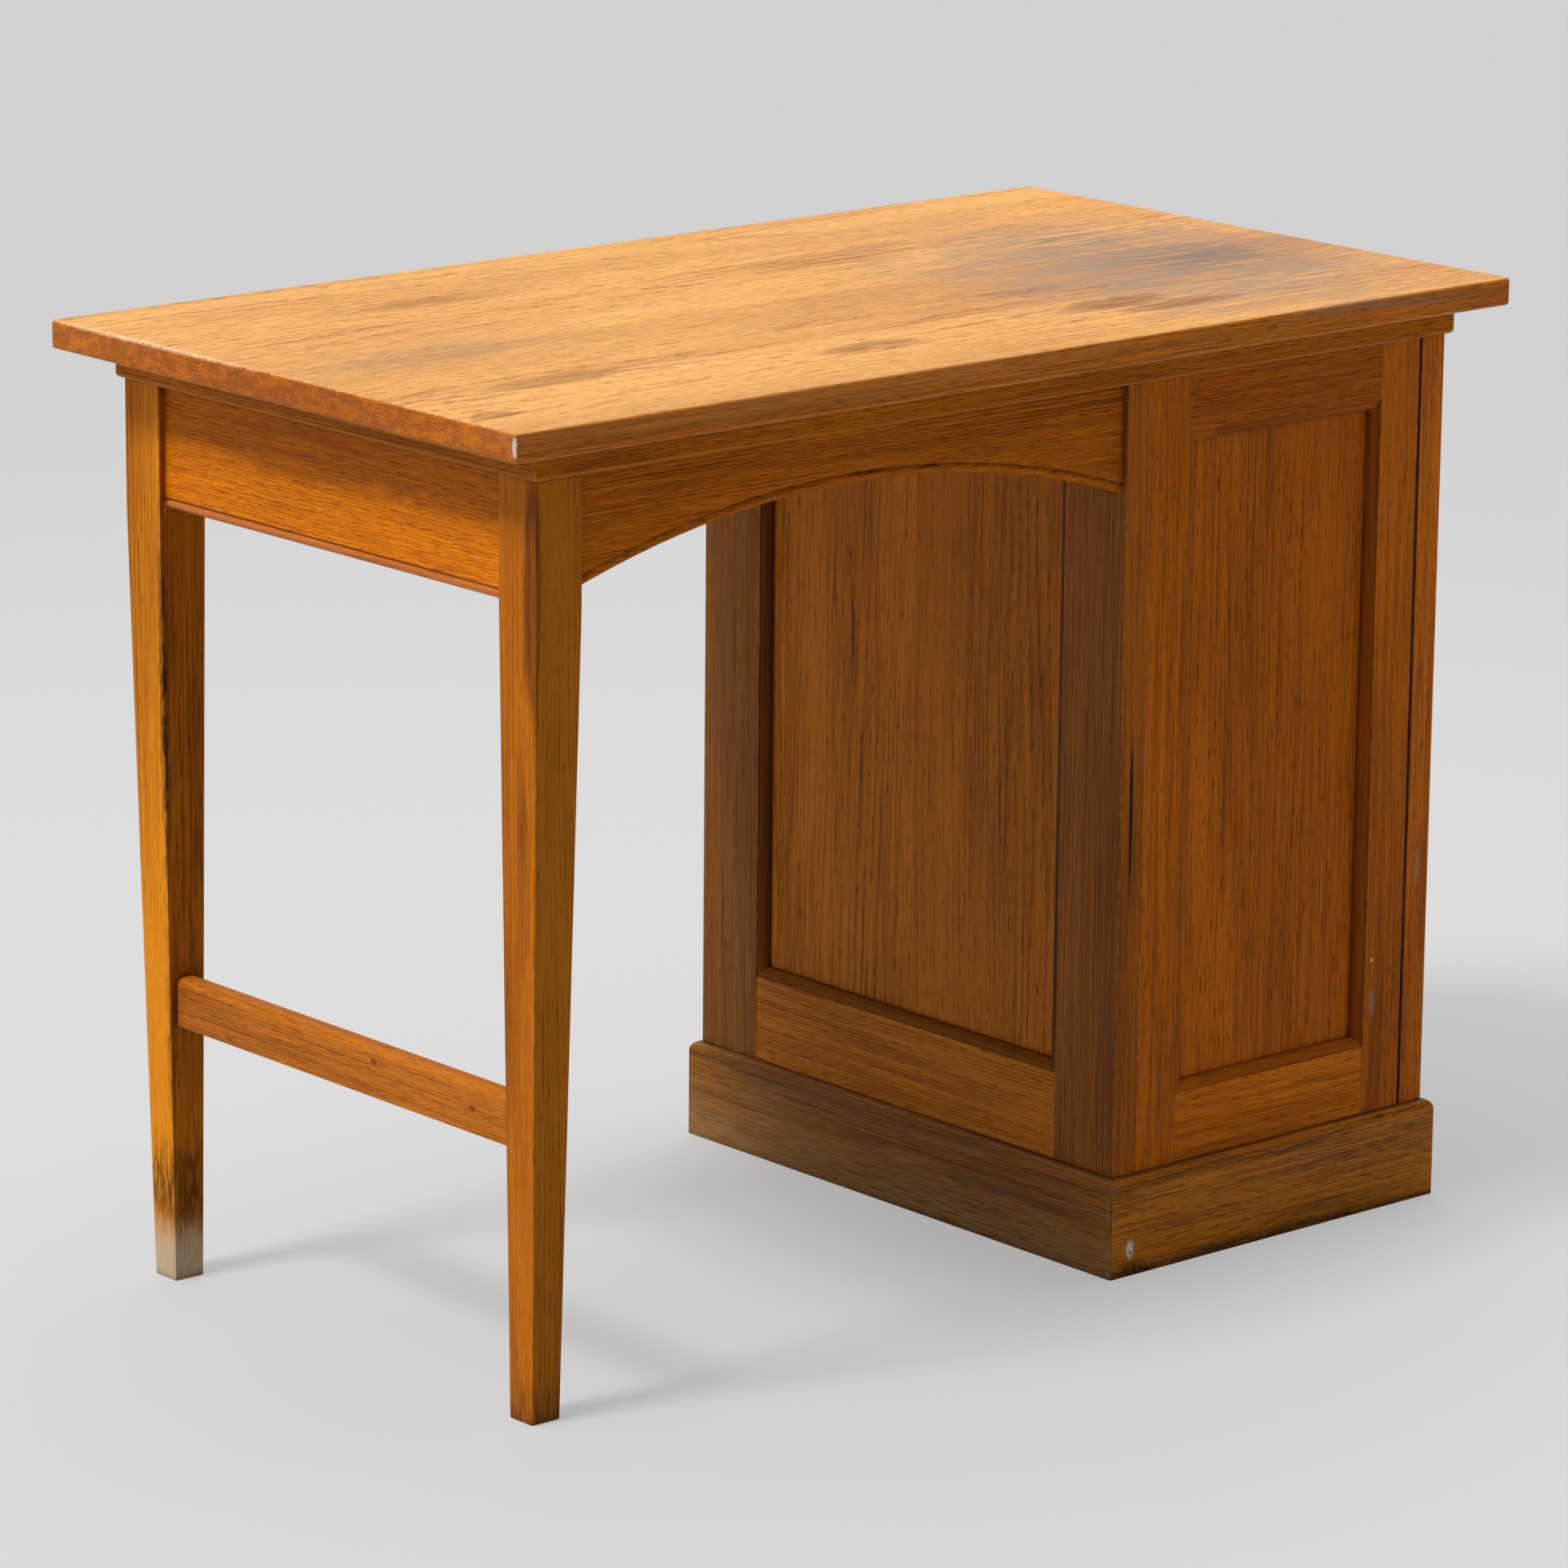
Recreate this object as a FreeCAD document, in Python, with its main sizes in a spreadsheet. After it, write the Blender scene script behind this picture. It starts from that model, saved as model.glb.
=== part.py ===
import FreeCAD, Part
import math
import os
import re

import Sketcher
from FreeCAD import Vector

# An oak writing desk with one pedestal. X runs along its length, from the pedestal to the pair of
# legs; the drawers open towards -Y, the arched apron is at the back, +Y; the floor is at Z = 0.

# Driving sizes, in millimetres
SIZES = {
    # table top
    "top_length": 1040,
    "top_width": 578,
    "top_thickness": 23,
    "top_edge_radius": 3,
    "desk_height": 780,
    "leg_end_overhang": 40,
    "pedestal_end_overhang": 37,
    "front_overhang": 30,
    "back_overhang": 27,
    # frame under the top, whose edge shows as a moulding
    "frame_thickness": 23,
    "frame_width": 64,
    "frame_reveal": 5,
    "frame_edge_radius": 4,
    # screws that hold the top to the frame
    "screw_diameter": 4.5,
    "screw_head_diameter": 9,
    "screw_length": 35,
    "screw_inset": 110,
    # legs
    "leg_top_width": 44,
    "leg_foot_width": 27,
    "leg_square_length": 102,
    "leg_foot_lean": 6,
    # aprons and stretcher
    "apron_thickness": 22,
    "apron_recess": 6,
    "end_apron_height": 98,
    "arch_apron_height": 88,
    "arch_rise": 45,
    "bead_width": 8,
    "bead_quirk": 1.2,
    "leg_tenon_wall": 24,
    "tenon_thickness": 8,
    "tenon_inset": 10,
    "stretcher_height": 40,
    "stretcher_thickness": 20,
    "stretcher_rise": 213,
    "stretcher_edge_radius": 7,
    # framed sides and back of the pedestal
    "pedestal_width": 355,
    "side_thickness": 25,
    "side_stile_width": 70,
    "side_top_rail_height": 70,
    "side_bottom_rail_height": 73,
    "back_thickness": 22,
    "back_stile_width": 43,
    "back_top_rail_height": 46,
    "back_bottom_rail_height": 58,
    "back_shrinkage_gap": 3.5,
    "rail_tenon_length": 30,
    "panel_thickness": 10,
    "panel_recess": 8.5,
    "panel_groove": 8,
    "panel_play": 1,
    "moulding_width": 9,
    "moulding_set_back": 1,
    "moulding_round": 6.5,
    # plinth and the blocks that stiffen the pedestal
    "plinth_height": 83,
    "plinth_thickness": 22,
    "plinth_projection": 8.5,
    "plinth_round": 8,
    "block_width": 36,
    "block_floor_gap": 8,
    "batten_width": 18,
    # fixed pieces that carry the drawers
    "bottom_thickness": 18,
    "divider_thickness": 18,
    "divider_depth": 60,
    "divider_tenon_length": 10,
    "runner_width": 20,
    "frieze_opening": 82,
    "knee_rail_depth": 45,
    "hanger_height": 12,
    "hanger_bite": 7,
    "stop_length": 30,
    "stop_depth": 18,
    "stop_height": 6,
    # drawers
    "drawer_gap": 1.5,
    "running_gap": 0.3,
    "drawer_top_gap": 3,
    "drawer_rear_room": 16,
    "knee_drawer_rear_room": 113,
    "knee_drawer_lift": 10,
    "drawer_front_thickness": 20,
    "drawer_side_thickness": 12,
    "drawer_back_thickness": 12,
    "drawer_back_drop": 5,
    "drawer_bottom_thickness": 6,
    "drawer_bottom_rise": 9,
    "drawer_groove": 5,
    "tail_length": 14,
    "pin_width": 6,
    "dovetail_slope": 6,
    # turned knobs
    "knob_diameter": 32,
    "knob_projection": 27,
    "knob_rim_distance": 17,
    "knob_neck_length": 9,
    "knob_neck_diameter": 14,
    "knob_base_diameter": 20,
    "knob_base_thickness": 2,
    "knob_stem_diameter": 10,
}

# Counts
DEEP_DRAWERS = 3
DEEP_TAILS = 4
SHALLOW_TAILS = 2
BACK_TAILS = 3

# Proportions: most of a strip's width or depth that its rounding takes up, the curve under a knob
# as a share of its slanting depth, and the angle swept by the bead cutter, wider than the arch
ROUND_SHARE = 0.9
SWELL_SHARE = 0.75
ARCH_SWEEP = 120

# Planes and places that several pieces share
TOP_UNDERSIDE = "(desk_height - top_thickness)"
FRAME_UNDERSIDE = f"({TOP_UNDERSIDE} - frame_thickness)"
FRAME_LEG_END = "(top_length/2 - leg_end_overhang)"
FRAME_PEDESTAL_END = "(pedestal_end_overhang - top_length/2)"
FRAME_FRONT = "(front_overhang - top_width/2)"
FRAME_BACK = "(top_width/2 - back_overhang)"
LEG_FACE = f"({FRAME_LEG_END} - frame_reveal)"
LEG_INSIDE = f"({LEG_FACE} - leg_top_width)"
FRONT_FACE = f"({FRAME_FRONT} + frame_reveal)"
BACK_FACE = f"({FRAME_BACK} - frame_reveal)"
OUTER_FACE = f"({FRAME_PEDESTAL_END} + frame_reveal)"
OUTER_INSIDE = f"({OUTER_FACE} + side_thickness)"
KNEE_FACE = f"({OUTER_FACE} + pedestal_width)"
KNEE_INSIDE = f"({KNEE_FACE} - side_thickness)"
BACK_INSIDE = f"({BACK_FACE} - back_thickness)"
PANEL_INSIDE = "(panel_recess + panel_thickness)"
TAPER_START = f"({FRAME_UNDERSIDE} - leg_square_length)"
FRONT_LEG_AXIS = f"({FRONT_FACE} + leg_top_width/2)"
BACK_LEG_AXIS = f"({BACK_FACE} - leg_top_width/2)"
LEG_AXIS = f"({LEG_FACE} - leg_top_width/2)"
LEG_TENON = "(leg_top_width - leg_tenon_wall)"
APRON_INSIDE = f"({LEG_FACE} - apron_recess - apron_thickness)"
CARCASS_FLOOR = "(plinth_height + bottom_thickness)"
FRIEZE_FLOOR = f"({FRAME_UNDERSIDE} - frieze_opening)"
DEEP_SPACE = f"({FRIEZE_FLOOR} - divider_thickness*{DEEP_DRAWERS} - {CARCASS_FLOOR})"
DEEP_OPENING = f"({DEEP_SPACE}/{DEEP_DRAWERS})"
FRONT_INSIDE = f"({FRONT_FACE} + drawer_front_thickness)"
ARCH_INSIDE = f"({BACK_FACE} - apron_recess - apron_thickness)"
BATTEN_FACE = f"({BACK_INSIDE} - batten_width)"
DRAWER_LENGTH = f"({BATTEN_FACE} - drawer_rear_room - {FRONT_FACE})"
KNEE_DRAWER_LENGTH = f"({ARCH_INSIDE} - knee_drawer_rear_room - {FRONT_FACE})"

CLOSE = 0.01

doc = FreeCAD.newDocument("Desk")
sheet = doc.addObject("Spreadsheet::Sheet", "Sizes")
for row, (alias, size) in enumerate(SIZES.items(), 1):
    sheet.set(f"A{row}", alias)
    sheet.set(f"B{row}", str(size))
    sheet.setAlias(f"B{row}", alias)
doc.recompute()

ALIAS = re.compile(r"\b(" + "|".join(SIZES) + r")\b")
SPOT = {
    "XY_Plane": lambda u, v, w: Vector(u, v, w),
    "XZ_Plane": lambda u, v, w: Vector(u, -w, v),
    "YZ_Plane": lambda u, v, w: Vector(w, u, v),
}
pieces = []


def bound(text):
    """The expression with each size read from the sheet."""
    return ALIAS.sub(r"Sizes.\1", text)


def worth(text):
    """What an expression comes to, in millimetres."""
    return float(sheet.evalExpression(bound(text)))


def keep(piece, label):
    """Make an object one of the desk's pieces, under its own name."""
    piece.Label = label
    pieces.append(piece)
    return piece


def board(label, x, y, z):
    """A squared board that runs between two planes along each axis."""
    box = doc.addObject("Part::Box", label)
    for (low, high), side, axis in zip((x, y, z), ("Length", "Width", "Height"), "xyz"):
        box.setExpression(side, bound(f"{high} - ({low})"))
        box.setExpression(f"Placement.Base.{axis}", bound(low))
    return box


def group(label, members):
    """Separate solids that are handled as one."""
    piece = doc.addObject("Part::Compound", label)
    piece.Links = list(members)
    return piece


def joined(label, base, tool):
    """Two shapes made one solid, such as a rail and its tenons."""
    piece = doc.addObject("Part::Fuse", label)
    piece.Base = base
    piece.Tool = tool
    piece.Refine = True
    return piece


def cut(label, base, *neighbours):
    """A piece with the room for its neighbours taken out of it."""
    piece = doc.addObject("Part::Cut", label)
    piece.Base = base
    piece.Tool = neighbours[0] if len(neighbours) == 1 else group(f"{label}_room", neighbours)
    return piece


def curve(start, end, radius, side):
    """The short arc from start to end that bulges to the left (side 1) or right (side -1)."""
    chord = end - start
    left = Vector(-chord.y, chord.x, 0).normalize()
    depth = radius - math.sqrt(max(radius**2 - chord.Length**2/4, 0))
    return Part.Arc(start, (start + end)*0.5 + left*depth*side, end)


def fix(sketch, kind, places, text):
    """Hold a sketch dimension at an expression."""
    number = sketch.addConstraint(Sketcher.Constraint(kind, *places, worth(text)))
    sketch.setExpression(f"Constraints[{number}]", bound(text))


def outline(body, plane, corners, arcs=None, offset=None):
    """A closed sketch through the corners; arcs gives some sides a radius and a bulge."""
    arcs = arcs or {}
    sketch = body.newObject("Sketcher::SketchObject", f"{body.Name}_outline")
    origin_plane = [part for part in body.Origin.OriginFeatures if part.Role == plane][0]
    sketch.AttachmentSupport = (origin_plane, [""])
    sketch.MapMode = "FlatFace"
    if offset:
        sketch.setExpression("AttachmentOffset.Base.z", bound(offset))
    spots = [Vector(worth(u), worth(v), 0) for u, v in corners]
    starts = []
    for number, start in enumerate(spots):
        end = spots[(number + 1) % len(spots)]
        if number in arcs:
            radius, side = arcs[number]
            sketch.addGeometry(curve(start, end, worth(radius), side))
        else:
            sketch.addGeometry(Part.LineSegment(start, end))
        first_end = sketch.getPoint(number, 1)
        starts.append(1 if first_end.distanceToPoint(start) < CLOSE else 2)
    for number, (u, v) in enumerate(corners):
        following = (number + 1) % len(corners)
        meeting = (number, 3 - starts[number], following, starts[following])
        sketch.addConstraint(Sketcher.Constraint("Coincident", *meeting))
        fix(sketch, "DistanceX", (-1, 1, number, starts[number]), u)
        fix(sketch, "DistanceY", (-1, 1, number, starts[number]), v)
        if number in arcs:
            fix(sketch, "Radius", (number,), arcs[number][0])
    return sketch


def new_body(label, at):
    """An empty body at a place given by three expressions."""
    body = doc.addObject("PartDesign::Body", label)
    for axis, place in zip("xyz", at):
        body.setExpression(f"Placement.Base.{axis}", bound(place))
    return body


def padded(label, plane, corners, thickness, at, arcs=None, backwards=False):
    """A body that is one outline, padded to a thickness."""
    body = new_body(label, at)
    feature = body.newObject("PartDesign::Pad", f"{label}_pad")
    feature.Profile = outline(body, plane, corners, arcs)
    feature.setExpression("Length", bound(thickness))
    feature.Reversed = backwards
    return body


def round_edges(body, radius, middles=None):
    """Round the edges whose middles lie at these places, or every edge."""
    doc.recompute()
    base = body.Tip
    names = []
    for number, edge in enumerate(base.Shape.Edges, 1):
        middle = edge.CenterOfMass
        if middles is None or any(middle.distanceToPoint(spot) < CLOSE for spot in middles):
            names.append(f"Edge{number}")
    feature = body.newObject("PartDesign::Fillet", f"{body.Name}_round")
    feature.Base = (base, names)
    feature.setExpression("Radius", bound(radius))
    body.Tip = feature
    return body


def mitred(u, v, width):
    """Outlines of four boards mitred round a rectangle, each with its outer edge first."""
    (u0, u1), (v0, v1) = u, v
    a0, a1 = f"({u0} + {width})", f"({u1} - {width})"
    b0, b1 = f"({v0} + {width})", f"({v1} - {width})"
    return {
        "low_v": [(u0, v0), (u1, v0), (a1, b0), (a0, b0)],
        "high_u": [(u1, v0), (u1, v1), (a1, b1), (a1, b0)],
        "high_v": [(u1, v1), (u0, v1), (a0, b1), (a1, b1)],
        "low_u": [(u0, v1), (u0, v0), (a0, b0), (a0, b1)],
    }


def edge_middle(plane, first, second, height):
    """Middle of the edge between two outline corners, at a height above the sketch."""
    u, v = ((worth(a) + worth(b))/2 for a, b in zip(first, second))
    return SPOT[plane](u, v, height)


def table_top(screws):
    """The solid top, with its edges eased all round and pilot holes for the screws."""
    half_x, half_y = "top_length/2", "top_width/2"
    corners = [(f"-{half_x}", f"-{half_y}"), (half_x, f"-{half_y}"), (half_x, half_y), (f"-{half_x}", half_y)]
    slab = padded("top_slab", "XY_Plane", corners, "top_thickness", ("0", "0", TOP_UNDERSIDE))
    round_edges(slab, "top_edge_radius")
    keep(cut("table_top", slab, screws), "table_top")


def top_screws():
    """Countersunk screws, driven up through the frame into the top."""
    front = f"({FRAME_FRONT} + frame_width/2)"
    back = f"({FRAME_BACK} - frame_width/2)"
    along = (f"({FRAME_PEDESTAL_END} + screw_inset)", "0", f"({FRAME_LEG_END} - screw_inset)")
    places = [(x, y) for y in (front, back) for x in along]
    places.append((f"({FRAME_PEDESTAL_END} + frame_width/2)", "0"))
    places.append((f"({FRAME_LEG_END} - frame_width/2)", "0"))
    countersink = "(screw_head_diameter - screw_diameter)/2"
    screws = []
    for number, (x, y) in enumerate(places, 1):
        head = doc.addObject("Part::Cone", f"screw_head_{number}")
        head.setExpression("Radius1", bound("screw_head_diameter/2"))
        head.setExpression("Radius2", bound("screw_diameter/2"))
        head.setExpression("Height", bound(countersink))
        shank = doc.addObject("Part::Cylinder", f"screw_shank_{number}")
        shank.setExpression("Radius", bound("screw_diameter/2"))
        shank.setExpression("Height", bound("screw_length"))
        for solid in (head, shank):
            for axis, place in zip("xyz", (x, y, FRAME_UNDERSIDE)):
                solid.setExpression(f"Placement.Base.{axis}", bound(place))
        screws.append(joined(f"screw_{number}", head, shank))
    return keep(group("top_screws", screws), "top_screws")


def top_frame(screws):
    """Four rails mitred round the underside of the top, and one across over the pedestal."""
    plans = mitred((FRAME_PEDESTAL_END, FRAME_LEG_END), (FRAME_FRONT, FRAME_BACK), "frame_width")
    names = {"low_v": "front", "high_v": "back", "high_u": "leg_end", "low_u": "pedestal_end"}
    for side, name in names.items():
        at = ("0", "0", FRAME_UNDERSIDE)
        rail = padded(f"frame_{name}_rail", "XY_Plane", plans[side], "frame_thickness", at)
        round_edges(rail, "frame_edge_radius", [edge_middle("XY_Plane", *plans[side][:2], 0)])
        label = f"top_frame_{name}"
        keep(cut(label, rail, screws), label)
    x = (f"({KNEE_INSIDE} - frame_width/2)", f"({KNEE_INSIDE} + frame_width/2)")
    y = (f"({FRAME_FRONT} + frame_width)", f"({FRAME_BACK} - frame_width)")
    keep(board("top_frame_cross_rail", x, y, (FRAME_UNDERSIDE, TOP_UNDERSIDE)), "top_frame_cross_rail")


def tapered_leg(label, axis_y, lean, *neighbours):
    """A leg, square where the aprons join it and tapered on four sides to a foot that leans in."""
    body = new_body(f"{label}_blank", (LEG_AXIS, axis_y, "0"))

    def square(width, middle="0", offset=None):
        left, right = f"-{width}/2", f"{width}/2"
        front, back = f"({middle} - {width}/2)", f"({middle} + {width}/2)"
        corners = [(left, front), (right, front), (right, back), (left, back)]
        return outline(body, "XY_Plane", corners, offset=offset)

    foot = square("leg_foot_width", lean)
    shoulder = square("leg_top_width", offset=TAPER_START)
    taper = body.newObject("PartDesign::AdditiveLoft", f"{label}_taper")
    taper.Profile = foot
    taper.Sections = [shoulder]
    taper.Ruled = True
    block = body.newObject("PartDesign::Pad", f"{label}_block")
    block.Profile = shoulder
    block.setExpression("Length", bound("leg_square_length"))
    keep(cut(label, body, *neighbours), label)


def leg_end_apron():
    """The apron between the legs, with a quirked bead along its lower edge and two tenons."""
    corners = [
        ("-apron_thickness", "0"),
        ("-bead_width/2", "0"),
        ("-bead_width/4", "bead_width/2*(1 + sqrt(3)/2)"),
        ("0", "bead_width + bead_quirk"),
        ("0", "end_apron_height"),
        ("-apron_thickness", "end_apron_height"),
    ]
    front_end, back_end = f"({FRONT_FACE} + leg_top_width)", f"({BACK_FACE} - leg_top_width)"
    lower_edge = f"({FRAME_UNDERSIDE} - end_apron_height)"
    at = (f"({LEG_FACE} - apron_recess)", back_end, lower_edge)
    length = f"{back_end} - {front_end}"
    body = padded("end_apron_board", "XZ_Plane", corners, length, at, {1: ("bead_width/2", -1)})
    middle = f"({LEG_FACE} - apron_recess - apron_thickness/2)"
    tenons = board(
        "end_apron_tenons",
        (f"({middle} - tenon_thickness/2)", f"({middle} + tenon_thickness/2)"),
        (f"({front_end} - {LEG_TENON})", f"({back_end} + {LEG_TENON})"),
        (f"({lower_edge} + tenon_inset)", f"({FRAME_UNDERSIDE} - tenon_inset)"),
    )
    return keep(joined("leg_end_apron", body, tenons), "leg_end_apron")


def arched_apron(end_apron):
    """The arched apron over the knee space, whose bead follows the arch."""
    half = f"(({LEG_INSIDE} - {KNEE_FACE})/2)"
    radius = f"(({half}^2 + arch_rise^2)/(2*arch_rise))"
    spring = f"({radius} - arch_rise)"
    top = f"({spring} + arch_apron_height)"
    corners = [(f"-{half}", spring), (half, spring), (half, top), (f"-{half}", top)]
    face = f"({BACK_FACE} - apron_recess)"
    at = (f"({KNEE_FACE} + {half})", face, f"({FRAME_UNDERSIDE} - {top})")
    body = padded("arch_board", "XZ_Plane", corners, "apron_thickness", at, {0: (radius, 1)})
    spare = "bead_quirk"
    waste = [
        ("-bead_width/2", radius),
        ("-bead_width/4", f"{radius} + bead_width/2*(1 + sqrt(3)/2)"),
        ("0", f"{radius} + bead_width + bead_quirk"),
        (spare, f"{radius} + bead_width + bead_quirk"),
        (spare, f"{radius} - {spare}"),
        ("-bead_width/2", f"{radius} - {spare}"),
    ]
    doc.recompute()
    plain_volume = body.Shape.Volume
    groove = body.newObject("PartDesign::Groove", "arch_bead")
    groove.Profile = outline(body, "YZ_Plane", waste, {0: ("bead_width/2", -1)})
    pivot = [part for part in body.Origin.OriginFeatures if part.Role == "Y_Axis"][0]
    groove.ReferenceAxis = (pivot, [""])
    groove.Angle = ARCH_SWEEP
    groove.Midplane = True
    doc.recompute()
    if body.Shape.Volume >= plain_volume:
        raise RuntimeError("the bead of the arched apron cut nothing")
    middle = f"({face} - apron_thickness/2)"
    crown = f"({FRAME_UNDERSIDE} - arch_apron_height + arch_rise)"
    tenons = board(
        "arch_tenons",
        (f"({KNEE_FACE} - divider_tenon_length)", f"({LEG_INSIDE} + {LEG_TENON})"),
        (f"({middle} - tenon_thickness/2)", f"({middle} + tenon_thickness/2)"),
        (f"({crown} + tenon_inset)", f"({FRAME_UNDERSIDE} - tenon_inset)"),
    )
    whole = joined("arch_with_tenons", body, tenons)
    return keep(cut("arched_back_apron", whole, end_apron), "arched_back_apron")


def leg_stretcher():
    """The rail that ties the legs low down; its shoulders follow the taper."""
    low, high = "stretcher_rise", "(stretcher_rise + stretcher_height)"

    def leg_reach(height):
        """How far a leg's inner face stands in from its axis at this height."""
        foot, spread = "(leg_foot_width/2 + leg_foot_lean)", "(leg_top_width/2)"
        return f"({foot} + ({spread} - {foot})*{height}/{TAPER_START})"

    corners = [
        (f"({FRONT_LEG_AXIS} + {leg_reach(low)})", low),
        (f"({BACK_LEG_AXIS} - {leg_reach(low)})", low),
        (f"({BACK_LEG_AXIS} - {leg_reach(high)})", high),
        (f"({FRONT_LEG_AXIS} + {leg_reach(high)})", high),
    ]
    near_side = f"({LEG_AXIS} - stretcher_thickness/2)"
    body = padded("stretcher_bar", "YZ_Plane", corners, "stretcher_thickness", (near_side, "0", "0"))
    heights = (0, worth("stretcher_thickness"))
    round_edges(body, "stretcher_edge_radius", [edge_middle("YZ_Plane", *corners[2:], w) for w in heights])
    tenons = board(
        "stretcher_tenons",
        (f"({LEG_AXIS} - tenon_thickness/2)", f"({LEG_AXIS} + tenon_thickness/2)"),
        (FRONT_LEG_AXIS, BACK_LEG_AXIS),
        (f"({low} + tenon_inset)", f"({high} - tenon_inset)"),
    )
    return keep(joined("leg_stretcher", body, tenons), "leg_stretcher")


def cross_bar(label, x, depth, floor, tenons):
    """A flat rail across the front under a drawer, with a stub tenon at each end."""
    height = (f"({floor} - divider_thickness)", floor)
    y = (FRONT_FACE, f"({FRONT_FACE} + {depth})")
    bar = board(f"{label}_bar", x, y, height)
    tenon_x = (f"({x[0]} - {tenons[0]})", f"({x[1]} + {tenons[1]})")
    tenon_y = (f"({FRONT_FACE} + {depth}/4)", f"({FRONT_FACE} + {depth}*3/4)")
    tenon_z = (f"({floor} - divider_thickness*2/3)", f"({floor} - divider_thickness/3)")
    return joined(label, bar, board(f"{label}_tenons", tenon_x, tenon_y, tenon_z))


def deep_floor(number):
    """Height on which a deep drawer runs, counted from the lowest, 0."""
    return f"({CARCASS_FLOOR} + {number}*({DEEP_OPENING} + divider_thickness))"


def framed_side(name, slab, across, thickness, widths, face, neighbours):
    """Two stiles, two rails and a panel in their grooves; slab lays out each board."""
    stile, top_rail, bottom_rail = widths
    low, high = across
    floor, roof = "plinth_height", FRAME_UNDERSIDE
    inner = (f"({low} + {stile})", f"({high} - {stile})")
    sill, lintel = f"({floor} + {bottom_rail})", f"({roof} - {top_rail})"

    def grown(pair, reach):
        return f"({pair[0]} - {reach})", f"({pair[1]} + {reach})"

    whole = face("0", thickness)
    panel_depth = face("panel_recess", PANEL_INSIDE)
    middle = f"({thickness}/2)"
    tenon_depth = face(f"{middle} - tenon_thickness/2", f"{middle} + tenon_thickness/2")
    opening = (sill, lintel)
    bite, room = "panel_groove", "(panel_groove + panel_play)"
    panel = slab(f"{name}_panel", grown(inner, bite), grown(opening, bite), panel_depth)
    groove = slab(f"{name}_groove", grown(inner, room), grown(opening, room), panel_depth)
    rails = []
    for part, (bottom, top) in {"bottom_rail": (floor, sill), "top_rail": (lintel, roof)}.items():
        rail = slab(f"{name}_{part}_bar", inner, (bottom, top), whole)
        tenon_z = (f"({bottom} + tenon_inset)", f"({top} - tenon_inset)")
        tenons = slab(f"{name}_{part}_tenons", grown(inner, "rail_tenon_length"), tenon_z, tenon_depth)
        whole_rail = joined(f"{name}_{part}_whole", rail, tenons)
        rails.append(keep(cut(f"{name}_{part}", whole_rail, groove), f"{name}_{part}"))
    for part, span in {"low": (low, inner[0]), "high": (inner[1], high)}.items():
        blank = slab(f"{name}_{part}_stile_blank", span, (floor, roof), whole)
        label = f"{name}_{neighbours[part][0]}_stile"
        keep(cut(label, blank, *rails, groove, *neighbours[part][1]), label)
    keep(panel, f"{name}_panel")
    return inner, opening


def panel_moulding(name, plane, opening, at, backwards):
    """Four ovolo strips mitred round a panel, set a little below the face of the frame."""
    depth = "(panel_recess - moulding_set_back)"
    radius = f"min(moulding_round; moulding_width*{ROUND_SHARE}; {depth}*{ROUND_SHARE})"
    strips = []
    for side, plan in mitred(*opening, "moulding_width").items():
        strip = padded(f"{name}_strip_{side}", plane, plan, depth, at, backwards=backwards)
        height = -worth(depth) if backwards else worth(depth)
        strips.append(round_edges(strip, radius, [edge_middle(plane, *plan[2:], height)]))
    keep(group(f"{name}_moulding", strips), f"{name}_moulding")


def pedestal_walls(dividers, knee_rail, arch):
    """The two framed sides and the framed back of the pedestal."""

    def side_slab(label, across, upright, through):
        return board(label, through, across, upright)

    def back_slab(label, across, upright, through):
        return board(label, across, through, upright)

    side_widths = ("side_stile_width", "side_top_rail_height", "side_bottom_rail_height")
    back_widths = ("back_stile_width", "back_top_rail_height", "back_bottom_rail_height")
    depth = (FRONT_FACE, BACK_FACE)
    opening = framed_side(
        "knee_side", side_slab, depth, "side_thickness", side_widths,
        lambda near, far: (f"({KNEE_FACE} - ({far}))", f"({KNEE_FACE} - ({near}))"),
        {"low": ("front", [*dividers, knee_rail]), "high": ("back", [arch])},
    )
    panel_moulding("knee_side", "YZ_Plane", opening, (f"({KNEE_FACE} - panel_recess)", "0", "0"), False)
    opening = framed_side(
        "outer_side", side_slab, depth, "side_thickness", side_widths,
        lambda near, far: (f"({OUTER_FACE} + ({near}))", f"({OUTER_FACE} + ({far}))"),
        {"low": ("front", dividers), "high": ("back", [])},
    )
    panel_moulding("outer_side", "YZ_Plane", opening, (f"({OUTER_FACE} + panel_recess)", "0", "0"), True)
    width = (f"({OUTER_INSIDE} + back_shrinkage_gap)", KNEE_INSIDE)
    opening = framed_side(
        "back", back_slab, width, "back_thickness", back_widths,
        lambda near, far: (f"({BACK_FACE} - ({far}))", f"({BACK_FACE} - ({near}))"),
        {"low": ("outer", []), "high": ("knee", [])},
    )
    panel_moulding("back", "XZ_Plane", opening, ("0", f"({BACK_FACE} - panel_recess)", "0"), True)


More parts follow.
